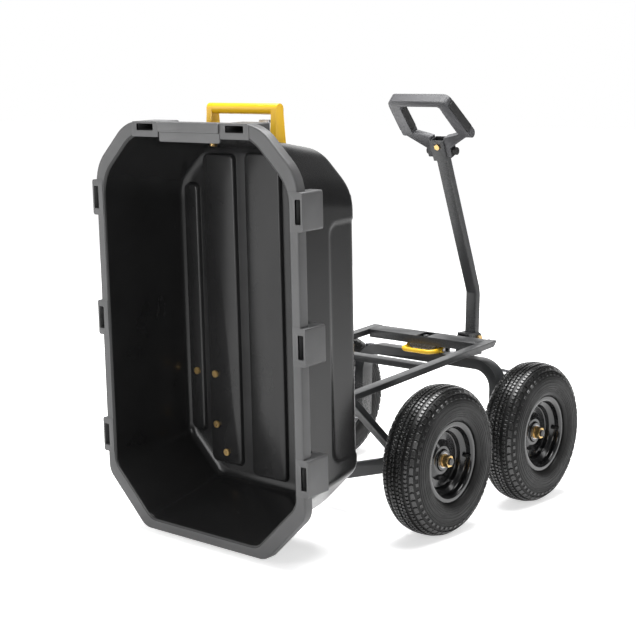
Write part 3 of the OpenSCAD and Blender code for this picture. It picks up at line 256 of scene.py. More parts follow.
def ring_faces(rings: int, count: int, closed: bool = False) -> list[Face]:
    """Gives the faces between rings of points.

    Args:
        rings: The number of rings.
        count: The number of points in each ring, which is closed in itself.
        closed: Whether the last ring meets the first.

    Returns:
        The faces as rows of point numbers.
    """
    pairs = [(i * count, (i + 1) % rings * count) for i in range(rings if closed else rings - 1)]
    steps = [(j, (j + 1) % count) for j in range(count)]
    return [(a + j, a + k, b + k, b + j) for a, b in pairs for j, k in steps]


def solid(name: str, rings: Sequence[Sequence[Sequence[float]]]) -> Piece:
    """Makes a solid from rings of points, closed by a face at each end.

    Args:
        name: The object's name.
        rings: The rings.

    Returns:
        The solid.
    """
    count, last = len(rings[0]), len(rings) - 1
    faces = ring_faces(len(rings), count)
    faces.append(tuple(range(count - 1, -1, -1)))
    faces.append(tuple(range(last * count, (last + 1) * count)))
    return mesh_object(name, [p for ring in rings for p in ring], faces)


def lathe(name: str, outline: Sequence[Vector], segments: int) -> Piece:
    """Turns a closed outline about Z.

    Args:
        name: The object's name.
        outline: Radius and height of each point.
        segments: The number of steps round the axis.

    Returns:
        The turned object.
    """
    angles = [2 * math.pi * i / segments for i in range(segments)]
    verts = [(p.x * math.cos(a), p.x * math.sin(a), p.y) for a in angles for p in outline]
    return mesh_object(name, verts, ring_faces(segments, len(outline), closed=True))


def sweep(
    name: str,
    path: Sequence[Vector],
    section: Sequence[Vector],
    across: Vector,
    scale: Callable[[int], Point] = lambda i: (1.0, 1.0),
) -> Piece:
    """Draws a section along a path.

    Args:
        name: The object's name.
        path: The path's points.
        section: The closed section; its X lies along across, its Y square to it.
        across: A direction square to the path.
        scale: Gives the section's two scales at a point of the path.

    Returns:
        The swept object with closed ends.
    """
    rings = []
    for i, p in enumerate(path):
        ahead = (path[min(i + 1, len(path) - 1)] - path[max(i - 1, 0)]).normalized()
        side = (across - ahead * across.dot(ahead)).normalized()
        up = ahead.cross(side)
        sx, sy = scale(i)
        rings.append([p + side * s.x * sx + up * s.y * sy for s in section])
    return solid(name, rings)


def prism(name: str, outline: Sequence[Vector], low: float, high: float) -> Piece:
    """Raises a closed outline into a solid along Z, from one height to another."""
    return solid(name, [[(p.x, p.y, w) for p in outline] for w in (low, high)])


def smooth(obj: Piece, angle: float) -> Piece:
    """Shades an object smooth, with creases where its faces meet at more than an angle.

    Args:
        obj: The object.
        angle: The angle in degrees.

    Returns:
        The same object.
    """
    obj.data.shade_smooth()
    obj.data.set_sharp_from_angle(angle=math.radians(angle))
    return obj


def moved(obj: Piece, place: Matrix) -> Piece:
    """Moves an object's mesh, with its faces turned out again where the move mirrors it.

    Args:
        obj: The object.
        place: The move.

    Returns:
        The same object.
    """
    obj.data.transform(place)
    if place.determinant() < 0:
        obj.data.flip_normals()
    return obj


def in_slot(obj: Piece, slot: int) -> Piece:
    """Puts all of an object's faces in one material slot."""
    obj.data.polygons.foreach_set("material_index", [slot] * len(obj.data.polygons))
    return obj


def settled(obj: Piece) -> Piece:
    """Turns an object with modifiers into a plain mesh of the same name.

    Args:
        obj: The object; it is removed.

    Returns:
        The new object.
    """
    name = obj.name
    graph = bpy.context.evaluated_depsgraph_get()
    graph.update()
    mesh = bpy.data.meshes.new_from_object(obj.evaluated_get(graph), depsgraph=graph)
    bpy.data.objects.remove(obj)
    return linked(name, mesh)


def joined(name: str, parts: Sequence[Piece]) -> Piece:
    """Joins objects into one mesh, which keeps the slots of their faces but not the materials.

    Args:
        name: The new object's name.
        parts: The objects; they are removed.

    Returns:
        The joined object.
    """
    made = bmesh.new()
    for part in parts:
        made.from_mesh(part.data)
    mesh = bpy.data.meshes.new(name)
    made.to_mesh(mesh)
    made.free()
    for part in parts:
        bpy.data.objects.remove(part)
    return linked(name, mesh)


def bevelled(obj: Piece, width: float, segments: int = 3) -> Piece:
    """Breaks the sharp edges of an object.

    Args:
        obj: The object; it is replaced by the bevelled one.
        width: The bevel's width in the object's units.
        segments: The number of steps in the bevel.

    Returns:
        The bevelled object.
    """
    edge = obj.modifiers.new("edge", "BEVEL")
    edge.width = width
    edge.segments = segments
    edge.limit_method = "ANGLE"
    edge.angle_limit = SHARP_EDGE
    edge.use_clamp_overlap = True
    return smooth(settled(obj), CREASE)


def softened(node: str, width: float, segments: int) -> Piece:
    """Makes a piece shaped like a CAD node, with its edges broken.

    Args:
        node: The CAD node.
        width: The bevel's width in metres.
        segments: The number of steps in the bevel.

    Returns:
        The piece, ready to stand for the node.
    """
    mesh = frame["nodes"][node].data.copy()
    made = bmesh.new()
    made.from_mesh(mesh)
    bmesh.ops.remove_doubles(made, verts=made.verts, dist=SAME_CAD_POINT)
    bmesh.ops.dissolve_limit(made, angle_limit=SAME_FACE, verts=made.verts, edges=made.edges)
    made.to_mesh(mesh)
    made.free()
    mesh.materials.clear()
    return bevelled(linked("soft_" + node, mesh), width, segments)


def cut(obj: Piece, tools: Sequence[Piece]) -> Piece:
    """Takes solids out of an object.

    Args:
        obj: The object; it is replaced by the cut one.
        tools: The solids; they are removed.

    Returns:
        The cut object.
    """
    for i, tool in enumerate(tools):
        step = obj.modifiers.new(f"cut{i}", "BOOLEAN")
        step.operation = "DIFFERENCE"
        step.solver = "EXACT"
        step.object = tool
    made = settled(obj)
    for tool in tools:
        bpy.data.objects.remove(tool)
    return made


# Finishes


@dataclass(frozen=True)
class Noise:
    """A noise: its scale per metre, its detail and its roughness."""

    scale: float
    detail: float = 3.0
    rough: float = 0.5


@dataclass(frozen=True)
class Span:
    """The stretch that a value is mapped to, and the one that it comes from, by default that of a noise."""

    to_low: float
    to_high: float
    low: float = 0.3
    high: float = 0.7


@dataclass(frozen=True)
class Relief:
    """How strongly a height roughens a surface, and its depth in metres."""

    strength: float
    depth: float


class Graph:
    """A material's node tree with short ways to add nodes."""

    def __init__(self, name: str) -> None:
        """Starts a material.

        Args:
            name: The material's name.
        """
        self.material = bpy.data.materials.new(name)
        self.material.use_nodes = True
        self.nodes = self.material.node_tree.nodes
        self.links = self.material.node_tree.links
        self.shader = self.nodes["Principled BSDF"]
        self.place = self.node("TexCoord", "Object", {})

    def node(self, kind: str, out: str | int, inputs: dict, **settings: str) -> Socket:
        """Adds a node.

        Args:
            kind: The last part of its type's name.
            out: The output wanted.
            inputs: A value or a socket for each input that is set.
            settings: The node's own options.

        Returns:
            The output.
        """
        made = self.nodes.new("ShaderNode" + kind)
        for name, value in settings.items():
            setattr(made, name, value)
        for key, value in inputs.items():
            if isinstance(value, Socket):
                self.links.new(value, made.inputs[key])
            else:
                made.inputs[key].default_value = value
        return made.outputs[out]

    def noise(self, noise: Noise, stretch: Place | None = None) -> Socket:
        """Gives a noise over the surface.

        Args:
            noise: Its settings.
            stretch: The scale of the place along each axis, where it isn't even.

        Returns:
            The noise.
        """
        place = self.place
        if stretch:
            place = self.node("Mapping", "Vector", {"Vector": place, "Scale": stretch})
        inputs = {"Vector": place, "Scale": noise.scale, "Detail": noise.detail, "Roughness": noise.rough}
        return self.node("TexNoise", "Fac", inputs)

    def cells(self, scale: float) -> Socket:
        """Gives the distance to the nearest of many scattered points."""
        return self.node("TexVoronoi", "Distance", {"Vector": self.place, "Scale": scale})

    def span(self, value: Socket, span: Span) -> Socket:
        """Maps a value from one stretch to another, clamped."""
        ends = {"From Min": span.low, "From Max": span.high, "To Min": span.to_low, "To Max": span.to_high}
        return self.node("MapRange", "Result", {"Value": value, **ends})

    def edges(self, low: float, high: float) -> Socket:
        """Gives a mask of the convex edges."""
        return self.span(self.node("NewGeometry", "Pointiness", {}), Span(0.0, 1.0, low, high))

    def sum_of(self, a: Socket, b: Socket, share: float) -> Socket:
        """Adds a share of the second value to the first."""
        return self.node("Math", 0, {0: b, 1: share, 2: a}, operation="MULTIPLY_ADD")

    def product(self, a: Socket, b: Socket) -> Socket:
        """Multiplies two values."""
        return self.node("Math", 0, {0: a, 1: b}, operation="MULTIPLY")

    def mixed(self, factor: Socket, first: Colour | Socket, second: Colour | Socket) -> Socket:
        """Mixes two colours, each a colour or a socket."""
        ends = [v if isinstance(v, Socket) else (*v, 1.0) for v in (first, second)]
        return self.node("Mix", 2, {"Factor": factor, 6: ends[0], 7: ends[1]}, data_type="RGBA")

    def bump(self, height: Socket, relief: Relief, under: Socket | None = None) -> Socket:
        """Gives a normal roughened by a height, over the surface's own normal or another one."""
        inputs = {"Height": height, "Strength": relief.strength, "Distance": relief.depth}
        return self.node("Bump", "Normal", inputs | ({"Normal": under} if under else {}))

    def done(self, colour: Socket, rough: Socket, normal: Socket, **constants: float) -> bpy.types.Material:
        """Wires the shader.

        Args:
            colour: The base colour.
            rough: The roughness.
            normal: The normal.
            constants: Inputs of the shader that are the same all over, with _ for each space.

        Returns:
            The material.
        """
        for name, value in (("Base Color", colour), ("Roughness", rough), ("Normal", normal)):
            self.links.new(value, self.shader.inputs[name])
        for name, value in constants.items():
            self.shader.inputs[name.replace("_", " ")].default_value = value
        return self.material


@dataclass(frozen=True)
class MouldedPlastic:
    """Moulded plastic with a grain, soft scuffs and paler edges."""

    name: str
    base: Colour
    pale: Colour
    rough: Span
    grain: float = 1500.0
    index: float = 1.5
    grain_relief: Relief = Relief(0.22, 0.00006)
    swell: Noise = Noise(9.0, 2.0)
    swell_relief: Relief = Relief(0.06, 0.002)
    cloud: Noise = Noise(9.0, 4.0)
    cloud_tone: Span = Span(0.0, 0.35)
    mottle: Noise = Noise(7.0)
    edge: Point = (0.51, 0.58)
    edge_wear: Span = Span(0.3, 0.9, 0.3, 0.6)
    scuff: Noise = Noise(30.0, 8.0, 0.7)
    scuff_stretch: Place = (1.0, 1.0, 0.25)
    scuff_tone: Span = Span(0.0, 0.25, 0.62, 0.8)
    scuff_rough: float = 0.15

    def make(self) -> bpy.types.Material:
        """Builds the material.

        Returns:
            The material.
        """
        g = Graph(self.name)
        cloud = g.noise(self.cloud)
        scuffs = g.span(g.noise(self.scuff, self.scuff_stretch), self.scuff_tone)
        tone = g.mixed(g.span(cloud, self.cloud_tone), self.base, self.pale)
        wear = g.product(g.edges(*self.edge), g.span(cloud, self.edge_wear))
        colour = g.mixed(scuffs, g.mixed(wear, tone, self.pale), self.pale)
        rough = g.sum_of(g.span(g.noise(self.mottle), self.rough), scuffs, self.scuff_rough)
        swell = g.bump(g.noise(self.swell), self.swell_relief)
        normal = g.bump(g.noise(Noise(self.grain, 2.0)), self.grain_relief, swell)
        return g.done(colour, rough, normal, IOR=self.index)


@dataclass(frozen=True)
class PowderCoat:
    """Powder coat or paint on steel with an orange peel and wear at the edges."""

    name: str
    base: Colour
    worn: Colour
    rough: Span = Span(0.3, 0.42)
    peel: float = 520.0
    peel_relief: Relief = Relief(0.25, 0.00025)
    coat: float = 0.15
    coat_rough: float = 0.22
    lift: float = 1.35
    cloud: Noise = Noise(22.0, 5.0, 0.6)
    cloud_tone: Span = Span(0.0, 0.5, 0.3, 0.75)
    edge: Point = (0.53, 0.62)
    chip: Noise = Noise(260.0, 6.0, 0.7)
    chip_tone: Span = Span(0.0, 0.8, 0.42, 0.6)
    chip_rough: float = 0.2
    mottle: Noise = Noise(60.0, 6.0)

    def make(self) -> bpy.types.Material:
        """Builds the material.

        Returns:
            The material.
        """
        g = Graph(self.name)
        lifted = tuple(v * self.lift for v in self.base)
        tone = g.mixed(g.span(g.noise(self.cloud), self.cloud_tone), self.base, lifted)
        chips = g.product(g.edges(*self.edge), g.span(g.noise(self.chip), self.chip_tone))
        colour = g.mixed(chips, tone, self.worn)
        rough = g.sum_of(g.span(g.noise(self.mottle), self.rough), chips, self.chip_rough)
        normal = g.bump(g.noise(Noise(self.peel, 2.0)), self.peel_relief)
        return g.done(colour, rough, normal, Coat_Weight=self.coat, Coat_Roughness=self.coat_rough)


@dataclass(frozen=True)
class PlatedMetal:
    """Bare or plated metal with fine turning marks and stains."""

    name: str
    base: Colour
    stain: Colour
    rough: Span = Span(0.22, 0.4)
    cloud: Noise = Noise(120.0, 5.0, 0.65)
    cloud_tone: Span = Span(0.0, 0.85, 0.35, 0.7)
    mottle: Noise = Noise(420.0, 6.0)
    marks: Noise = Noise(900.0)
    marks_stretch: Place = (1.0, 0.08, 1.0)
    marks_relief: Relief = Relief(0.2, 0.0001)

    def make(self) -> bpy.types.Material:
        """Builds the material.

        Returns:
            The material.
        """
        g = Graph(self.name)
        colour = g.mixed(g.span(g.noise(self.cloud), self.cloud_tone), self.base, self.stain)
        rough = g.span(g.noise(self.mottle), self.rough)
        normal = g.bump(g.noise(self.marks, self.marks_stretch), self.marks_relief)
        return g.done(colour, rough, normal, Metallic=1.0)


@dataclass(frozen=True)
class Rubber:
    """Rubber with a dusty bloom and a fine pebble."""

    name: str
    base: Colour
    dust: Colour
    pebble: float
    rough: Span
    bloom: float = 0.35
    shine: float = 0.5
    cloud: Noise = Noise(26.0, 6.0, 0.65)
    cloud_low: float = 0.4
    cloud_high: float = 0.78
    mottle: Noise = Noise(80.0, 5.0)
    pebble_relief: Relief = Relief(0.18, 0.00015)
    wrinkle: Noise = Noise(300.0, 4.0)
    wrinkle_relief: Relief = Relief(0.2, 0.0003)

    def make(self) -> bpy.types.Material:
        """Builds the material.

        Returns:
            The material.
        """
        g = Graph(self.name)
        bloom = g.span(g.noise(self.cloud), Span(0.0, self.bloom, self.cloud_low, self.cloud_high))
        colour = g.mixed(bloom, self.base, self.dust)
        rough = g.span(g.noise(self.mottle), self.rough)
        wrinkle = g.bump(g.noise(self.wrinkle), self.wrinkle_relief)
        normal = g.bump(g.cells(self.pebble), self.pebble_relief, wrinkle)
        return g.done(colour, rough, normal, Specular_IOR_Level=self.shine)


class Finish(Enum):
    """The cart's finishes; each is made once."""

    TUB = MouldedPlastic(
        "tub_look", (0.011, 0.011, 0.0112), (0.022, 0.022, 0.0224), Span(0.2, 0.27), index=1.41
    )
    # The rim's paler colour is partly the matte rim's own and partly painted light: it stands in for the light
    # that the rim catches from above and behind.
    RIM = MouldedPlastic("rim_look", (0.052, 0.052, 0.053), (0.11, 0.11, 0.112), Span(0.33, 0.46))
    YELLOW = MouldedPlastic("yellow_look", (0.93, 0.53, 0.012), (1.0, 0.64, 0.04), Span(0.28, 0.4), 1200.0)
    GRIP = MouldedPlastic("grip_look", (0.045, 0.046, 0.05), (0.08, 0.08, 0.085), Span(0.4, 0.52), 1700.0)
    FRAME = PowderCoat("frame_look", (0.024, 0.025, 0.0265), (0.2, 0.2, 0.2))
    WHEEL = PowderCoat(
        "wheel_look", (0.005, 0.005, 0.0055), (0.08, 0.08, 0.08), Span(0.1, 0.17), 420.0,
        Relief(0.25, 0.00012), 0.5,
    )
    ZINC = PlatedMetal("zinc_look", (0.8, 0.56, 0.22), (0.62, 0.4, 0.2))
    STEEL = PlatedMetal("steel_look", (0.5, 0.5, 0.52), (0.33, 0.33, 0.35))
    PAD = Rubber("pad_look", (0.012, 0.012, 0.012), (0.05, 0.05, 0.05), 700.0, Span(0.5, 0.7))
    TYRE = Rubber(
        "tyre_look", (0.007, 0.007, 0.007), (0.024, 0.0235, 0.0225), 1100.0, Span(0.33, 0.48), 0.2, 0.28
    )
    TREAD = Rubber(
        "tread_look", (0.009, 0.009, 0.009), (0.03, 0.029, 0.028), 900.0, Span(0.2, 0.3), 0.25, 0.8
    )

    def material(self) -> bpy.types.Material:
        """Gives the material, built at the first call."""
        found = bpy.data.materials.get(self.value.name)
        return found or self.value.make()


# The finish of each material slot of the record.
SLOT_FINISHES: dict[str, Finish] = {
    "plain_steel": Finish.STEEL, "yellow_zinc": Finish.ZINC, "frame_paint": Finish.FRAME,
    "tub_plastic": Finish.TUB, "yellow_plastic": Finish.YELLOW, "grip_plastic": Finish.GRIP,
    "grip_rubber": Finish.PAD, "tyre_rubber": Finish.TYRE, "rim_paint": Finish.WHEEL,
}


def dressed(obj: Piece, *finishes: Finish) -> Piece:
    """Gives an object its finishes.

    Args:
        obj: The object.
        finishes: The finish of each of its material slots.

    Returns:
        The same object.
    """
    if obj.data.materials:
        obj.data.materials.clear()
    for finish in finishes:
        obj.data.materials.append(finish.material())
    return obj


def placed(obj: Piece, body: str, nodes: Sequence[str] = ()) -> Piece:
    """Ties a finished piece to a body of the frame.

    Args:
        obj: The piece, at the origin.
        body: The body that it rides on.
        nodes: The CAD nodes that it stands for.

    Returns:
        The same object.
    """
    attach(obj, body)
    if nodes:
        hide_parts(*nodes)
    LOG.info("piece %s on %s, %d faces", obj.name, body, len(obj.data.polygons))
    return obj


@dataclass(frozen=True)
class SoftNode:
    """A CAD node that is shown with its edges broken by a width in millimetres."""

    node: str
    body: str
    slot: str
    edge: float
    steps: int = 3

    def build(self) -> None:
        """Builds the piece that stands for the node."""
        piece = softened(self.node, self.edge * MM, self.steps)
        placed(dressed(piece, SLOT_FINISHES[self.slot]), self.body, [self.node])


# Geometry node groups


class Repeater:
    """A node group that repeats the given mesh at points and gives the copies a finish."""

    def __init__(self, name: str, inputs: dict[str, str]) -> None:
        """Builds what every such group has.

        Args:
            name: The group's name.
            inputs: The kind of each input that says where the copies go.
        """
        self.group = bpy.data.node_groups.new(name, "GeometryNodeTree")
        face = self.group.interface
        face.new_socket("Geometry", in_out="INPUT", socket_type="NodeSocketGeometry")
        self.inputs = {
            label: face.new_socket(label, in_out="INPUT", socket_type="NodeSocket" + kind).identifier
            for label, kind in {**inputs, "Finish": "Material"}.items()
        }
        face.new_socket("Geometry", in_out="OUTPUT", socket_type="NodeSocketGeometry")
        self.add, self.link = self.group.nodes.new, self.group.links.new
        source, sink = self.add("NodeGroupInput"), self.add("NodeGroupOutput")
        copies, real = self.add("GeometryNodeInstanceOnPoints"), self.add("GeometryNodeRealizeInstances")
        paint = self.add("GeometryNodeSetMaterial")
        self.link(source.outputs["Geometry"], copies.inputs["Instance"])
        self.link(copies.outputs[0], real.inputs[0])
        self.link(real.outputs[0], paint.inputs["Geometry"])
        self.link(source.outputs["Finish"], paint.inputs["Material"])
        self.link(paint.outputs[0], sink.inputs[0])
        self.source, self.copies = source, copies

    def repeated(self, obj: Piece, finish: Finish, values: dict[str, int | float | Piece]) -> Piece:
        """Repeats an object.

        Args:
            obj: The object; it is replaced by its copies.
            finish: The finish of the copies.
            values: The value of each input.

        Returns:
            The copies as one plain mesh.
        """
        step = obj.modifiers.new("repeat", "NODES")
        step.node_group = self.group
        for label, value in {**values, "Finish": finish.material()}.items():
            step[self.inputs[label]] = value
        return settled(obj)


class RingOf(Repeater):
    """A node group that repeats the given mesh round Z."""

    def __init__(self) -> None:
        """Builds the group, which turns each copy by its number."""
        super().__init__("ring_of", {"Count": "Int", "Phase": "Float"})
        points, index = self.add("GeometryNodePoints"), self.add("GeometryNodeInputIndex")
        turn, step, shift = (self.add("ShaderNodeMath") for _ in range(3))
        spin = self.add("ShaderNodeCombineXYZ")
        turn.operation, step.operation, shift.operation = "DIVIDE", "MULTIPLY", "ADD"
        turn.inputs[0].default_value = 2 * math.pi
        self.link(self.source.outputs["Count"], points.inputs["Count"])
        self.link(self.source.outputs["Count"], turn.inputs[1])
        self.link(index.outputs[0], step.inputs[0])
        self.link(turn.outputs[0], step.inputs[1])
        self.link(step.outputs[0], shift.inputs[0])
        self.link(self.source.outputs["Phase"], shift.inputs[1])
        self.link(shift.outputs[0], spin.inputs["Z"])
        self.link(points.outputs[0], self.copies.inputs["Points"])
        self.link(spin.outputs[0], self.copies.inputs["Rotation"])

    def apply(self, obj: Piece, count: int, phase: float, finish: Finish) -> Piece:
        """Repeats an object round Z a number of times, the first one turned by a phase in radians."""
        return self.repeated(obj, finish, {"Count": count, "Phase": phase})


class SetOf(Repeater):
    """A node group that puts the given mesh at each point of another object."""

    def __init__(self) -> None:
        """Builds the group, which reads the points of the object."""
        super().__init__("set_of", {"Places": "Object"})
        info = self.add("GeometryNodeObjectInfo")
        self.link(self.source.outputs["Places"], info.inputs["Object"])
        self.link(info.outputs["Geometry"], self.copies.inputs["Points"])

    def apply(self, obj: Piece, places: Sequence[Vector], finish: Finish) -> Piece:
        """Puts copies of an object at places.

        Args:
            obj: The object; it is replaced by the set.
            places: The places in the object's units.
            finish: The finish of the set.

        Returns:
            The set as a plain mesh.
        """
        mesh = bpy.data.meshes.new("places")
        mesh.from_pydata([tuple(p) for p in places], [], [])
        marks = linked("places", mesh)
        made = self.repeated(obj, finish, {"Places": marks})
        bpy.data.objects.remove(marks)
        return made


# Sub-assemblies


@dataclass(frozen=True)
class FloorPanel:
    """A raised panel of the tub's floor, as shares of the floor's half width and of its two lengths."""

    low: float
    high: float
    front: float
    rear: float


@dataclass
class Tub:
    """The moulded tub, drawn level in millimetres and tipped up at the end."""

    depth: float = 228.0
    rim_front: float = 426.0
    rim_rear: float = 453.0
    rim_half: float = 282.0
    flange: float = 20.0
    skirt: float = 24.0
    skirt_edge: float = 1.0
    sheet: float = 4.0
    floor_front: float = 362.0
    floor_rear: float = 388.0
    floor_half: float = 246.0
    wall: float = 5.0
    floor_round: float = 22.0
    front_bevel: float = 97.0
    rear_bevel: float = 108.0
    bevel_shrink: float = 0.85
    bevel_inset: float = 0.4
    front_round: float = 90.0
    rear_round: float = 40.0
    tip: float = 93.3
    rim_centre_z: float = 463.0
    hinge_w: float = -10.3

    corner_steps: int = 9
    side_steps: int = 120
    wall_steps: int = 36
    floor_steps: int = 9
    lip_steps: int = 5
    crease: float = 28.0
    joint_crease: float = 32.0

    recess_mid: float = -22.0
    recess_half: float = 248.0
    recess_top: float = 100.0
    recess_round: float = 28.0
    recess_ramp: float = 7.0
    recess_d: float = 3.0

    centre_panel: FloorPanel = FloorPanel(-0.2, 0.2, 0.96, 0.945)
    side_panels: tuple[FloorPanel, ...] = (
        FloorPanel(0.33, 0.7, 0.945, 0.91), FloorPanel(0.78, 0.945, 0.76, 0.74),
    )
    panel_h: float = 8.0
    panel_round: float = 14.0
    panel_hollow: float = 5.0
    # Inset and height of each ring of a panel's edge, measured from its top.
    panel_edge: tuple[Point, ...] = ((-3.0, -9.0), (-0.5, -4.0), (0.4, -2.0), (1.8, -0.6), (4.0, 0.0))

    pockets: tuple[float, ...] = (-262.0, 0.0, 262.0)
    front_pocket: float = 124.9
    pocket_l: float = 76.0
    pocket_h: float = 62.0
    pocket_proud: float = 11.0
    pocket_rise: float = 0.8
    pocket_rounds: tuple[float, ...] = (0.5, 0.5, 5.0, 5.0)
    pocket_edge: float = 1.6
    slot_l: float = 48.0
    slot_w: float = 14.0
    slot_round: float = 2.0
    # How far a cutting solid stands out of what it cuts.
    overcut: float = 5.0

    lip_half: float = 84.6
    lip_root: float = 2.0
    lip_rise: float = 3.9
    lip_round: float = 3.0
    lip_edge: float = 1.5
    inner_lip: Point = (40.0, 15.0)
    inner_lip_gap: float = 0.1
    inner_lip_round: float = 4.0
    inner_lip_edge: float = 1.2

    def pose(self) -> Matrix:
        """Gives the tub's place.

        Returns:
            The matrix from the level tub in millimetres to the tipped one in metres.
        """
        hinge = joint_place("tub_tip")
        c, s = math.cos(math.radians(self.tip)), math.sin(math.radians(self.tip))
        hinge_u = -(self.rim_centre_z - hinge.z / MM - (self.depth - self.hinge_w) * c) / s
        return (
            Matrix.Translation(hinge)
            @ Matrix.Rotation(-math.radians(self.tip), 4, "Y")
            @ Matrix.Scale(MM, 4)
            @ Matrix.Translation((-hinge_u, 0, -self.hinge_w))
        )

    def plan(self, front: float, rear: float, half: float, bevels: Point, less: float) -> list[Vector]:
        """Gives a bevelled and rounded plan, with extra points along its two long sides.

        Args:
            front: Its reach to the front.
            rear: Its reach to the rear.
            half: Its half width.
            bevels: The bevels of the front corners and of the rear ones.
            less: How much smaller its corner radii are than the rim's.

        Returns:
            The plan.
        """
        f, r = self.front_round - less, self.rear_round - less
        fb, rb = bevels
        corners = [
            (front, fb - half), (front, half - fb), (front - fb, half), (rb - rear, half),
            (-rear, half - rb), (-rear, rb - half), (rb - rear, -half), (front - fb, -half),
        ]
        made = rounded(corners, [f, f, f, r, r, r, r, f], self.corner_steps)
        arc = self.corner_steps + 1
        for last in (7 * arc - 1, 3 * arc - 1):
            a, b = made[last], made[last + 1]
            made[last + 1:last + 1] = [a.lerp(b, i / self.side_steps) for i in range(1, self.side_steps)]
        return made

    def wall_plan(self, w: float, inset: float) -> list[Vector]:
        """Gives the wall's plan.

        Args:
            w: The height.
            inset: How far it is drawn in from the wall's outside.

        Returns:
            The plan.
        """
        t = w / self.depth
        shrink = self.bevel_shrink + (1 - self.bevel_shrink) * t
        bevels = (self.front_bevel * shrink - inset * self.bevel_inset,
                  self.rear_bevel * shrink - inset * self.bevel_inset)
        floor = (self.floor_front, self.floor_rear, self.floor_half)
        rim = (self.rim_front, self.rim_rear, self.rim_half)
        reach = [low + (high - self.flange - low) * t - inset for low, high in zip(floor, rim)]
        return self.plan(*reach, bevels, 0.0)

    def rim_plan(self, inset: float) -> list[Vector]:
        """Gives the rim's outer plan, drawn in by an inset."""
        bevels = (self.front_bevel - inset / 2, self.rear_bevel - inset / 2)
        return self.plan(self.rim_front - inset, self.rim_rear - inset, self.rim_half - inset, bevels, inset)

    def recessed(self, ring: list[Vector], w: float) -> list[Vector]:
        """Draws a ring of the outer wall in where the recess of the tub's sides lies.

        Args:
            ring: The wall's plan.
            w: Its height.

        Returns:
            The plan with the recess.
        """
        made = []
        for p in ring:
            along = abs(p.x - self.recess_mid) - self.recess_half + self.recess_round
            above = w - self.recess_top + self.recess_round
            beyond = math.hypot(max(along, 0.0), max(above, 0.0))
            gap = beyond + min(max(along, above), 0.0) - self.recess_round
            t = max(0.0, min(1.0, -gap / self.recess_ramp))
            made.append(Vector((p.x, p.y - math.copysign(self.recess_d * t * t * (3 - 2 * t), p.y))))
        return made

    def shell(self) -> Piece:
        """Draws the walls, the floor and the rim as rings from the inside out.

        Returns:
            The shell, with its rim in the second slot.
        """
        rings: list[tuple[list[Vector], float]] = []
        inner = self.floor_round - self.wall
        for c, s in quarter(self.floor_steps):
            w = self.wall + inner * (1 - c)
            rings.append((self.wall_plan(w, self.wall + inner * (1 - s)), w))
        for c, s in quarter(self.lip_steps):
            w = self.depth - self.wall + self.wall * s
            rings.append((self.wall_plan(w, self.wall * c), w))
        rim_from = len(rings) - 1
        for c, s in quarter(self.lip_steps):
            rings.append((self.rim_plan(self.sheet * (1 - s)), self.depth - self.sheet * (1 - c)))
        sheet, edge = self.sheet, self.skirt_edge
        low, top = self.depth - self.skirt, self.depth - sheet
        skirt = [(0, low + edge), (edge, low), (sheet - edge, low), (sheet, low + edge), (sheet, top)]
        rings += [(self.rim_plan(inset), w) for inset, w in skirt]
        rim_to = len(rings)
        for i in range(self.wall_steps):
            w = top - (top - self.floor_round) * i / self.wall_steps
            rings.append((self.recessed(self.wall_plan(w, 0), w), w))
        for c, s in reversed(quarter(self.floor_steps)):
            w = self.floor_round * (1 - c)
            rings.append((self.recessed(self.wall_plan(w, self.floor_round * (1 - s)), w), w))
        count, last = len(rings[0][0]), len(rings) - 1
        slots = [int(rim_from <= i < rim_to) for i in range(last) for _ in range(count)] + [0, 0]
        faces = ring_faces(len(rings), count)
        faces.append(tuple(range(count)))
        faces.append(tuple(range((last + 1) * count - 1, last * count - 1, -1)))
        return mesh_object("tub_shell", [(p.x, p.y, w) for ring, w in rings for p in ring], faces, slots)

    def panel_outlines(self, inset: float) -> list[list[Vector]]:
        """Gives the outlines of the raised floor panels.

        Args:
            inset: How far they are drawn in.

        Returns:
            The outlines.
        """
        spans = [(self.centre_panel, 1)]
        spans += [(panel, side.value) for side in Side for panel in self.side_panels]
        made = []
        for panel, sign in spans:
            low, high = sorted((sign * panel.low * self.floor_half, sign * panel.high * self.floor_half))
            low, high = low + inset, high - inset
            front, rear = self.floor_front * panel.front - inset, inset - self.floor_rear * panel.rear
            made.append(rounded([(front, low), (front, high), (rear, high), (rear, low)], self.panel_round))
        return made

    def panels(self) -> list[Piece]:
        """Draws the raised floor panels with sloping sides and rounded edges, open below.

        Returns:
            The panels.
        """
        made = []
        top = self.wall + self.panel_h
        outlines = [self.panel_outlines(inset) for inset, _ in self.panel_edge]
        for rings in zip(*outlines):
            count, last = len(rings[0]), len(rings) - 1
            verts = [(p.x, p.y, top + w) for ring, (_, w) in zip(rings, self.panel_edge) for p in ring]
            faces = ring_faces(len(rings), count)
            faces.append(tuple(range(last * count, (last + 1) * count)))
            made.append(mesh_object("floor_panel", verts, faces))
        return made

    def pocket_places(self) -> list[Matrix]:
        """Gives the places of the rim's pockets.

        Returns:
            The places, each with X along the rim and Y outwards.
        """
        places = []
        for side in Side:
            flip = Matrix.Scale(side.value, 4, (0, 1, 0))
            places += [flip @ Matrix.Translation((u, self.rim_half, 0)) for u in self.pockets]
            places.append(
                flip @ Matrix.Translation((self.rim_front - self.pocket_proud, self.front_pocket, 0))
                @ Matrix.Rotation(-math.pi / 2, 4, "Z")
            )
        return places

    def slot(self) -> Piece:
        """Draws the solid that cuts a pocket's slot."""
        x, y, low = self.slot_l / 2, self.slot_w / 2, self.depth - self.pocket_h + self.wall
        return prism("slot", rectangle((-x, -y), (x, y), self.slot_round), low, self.depth + self.overcut)

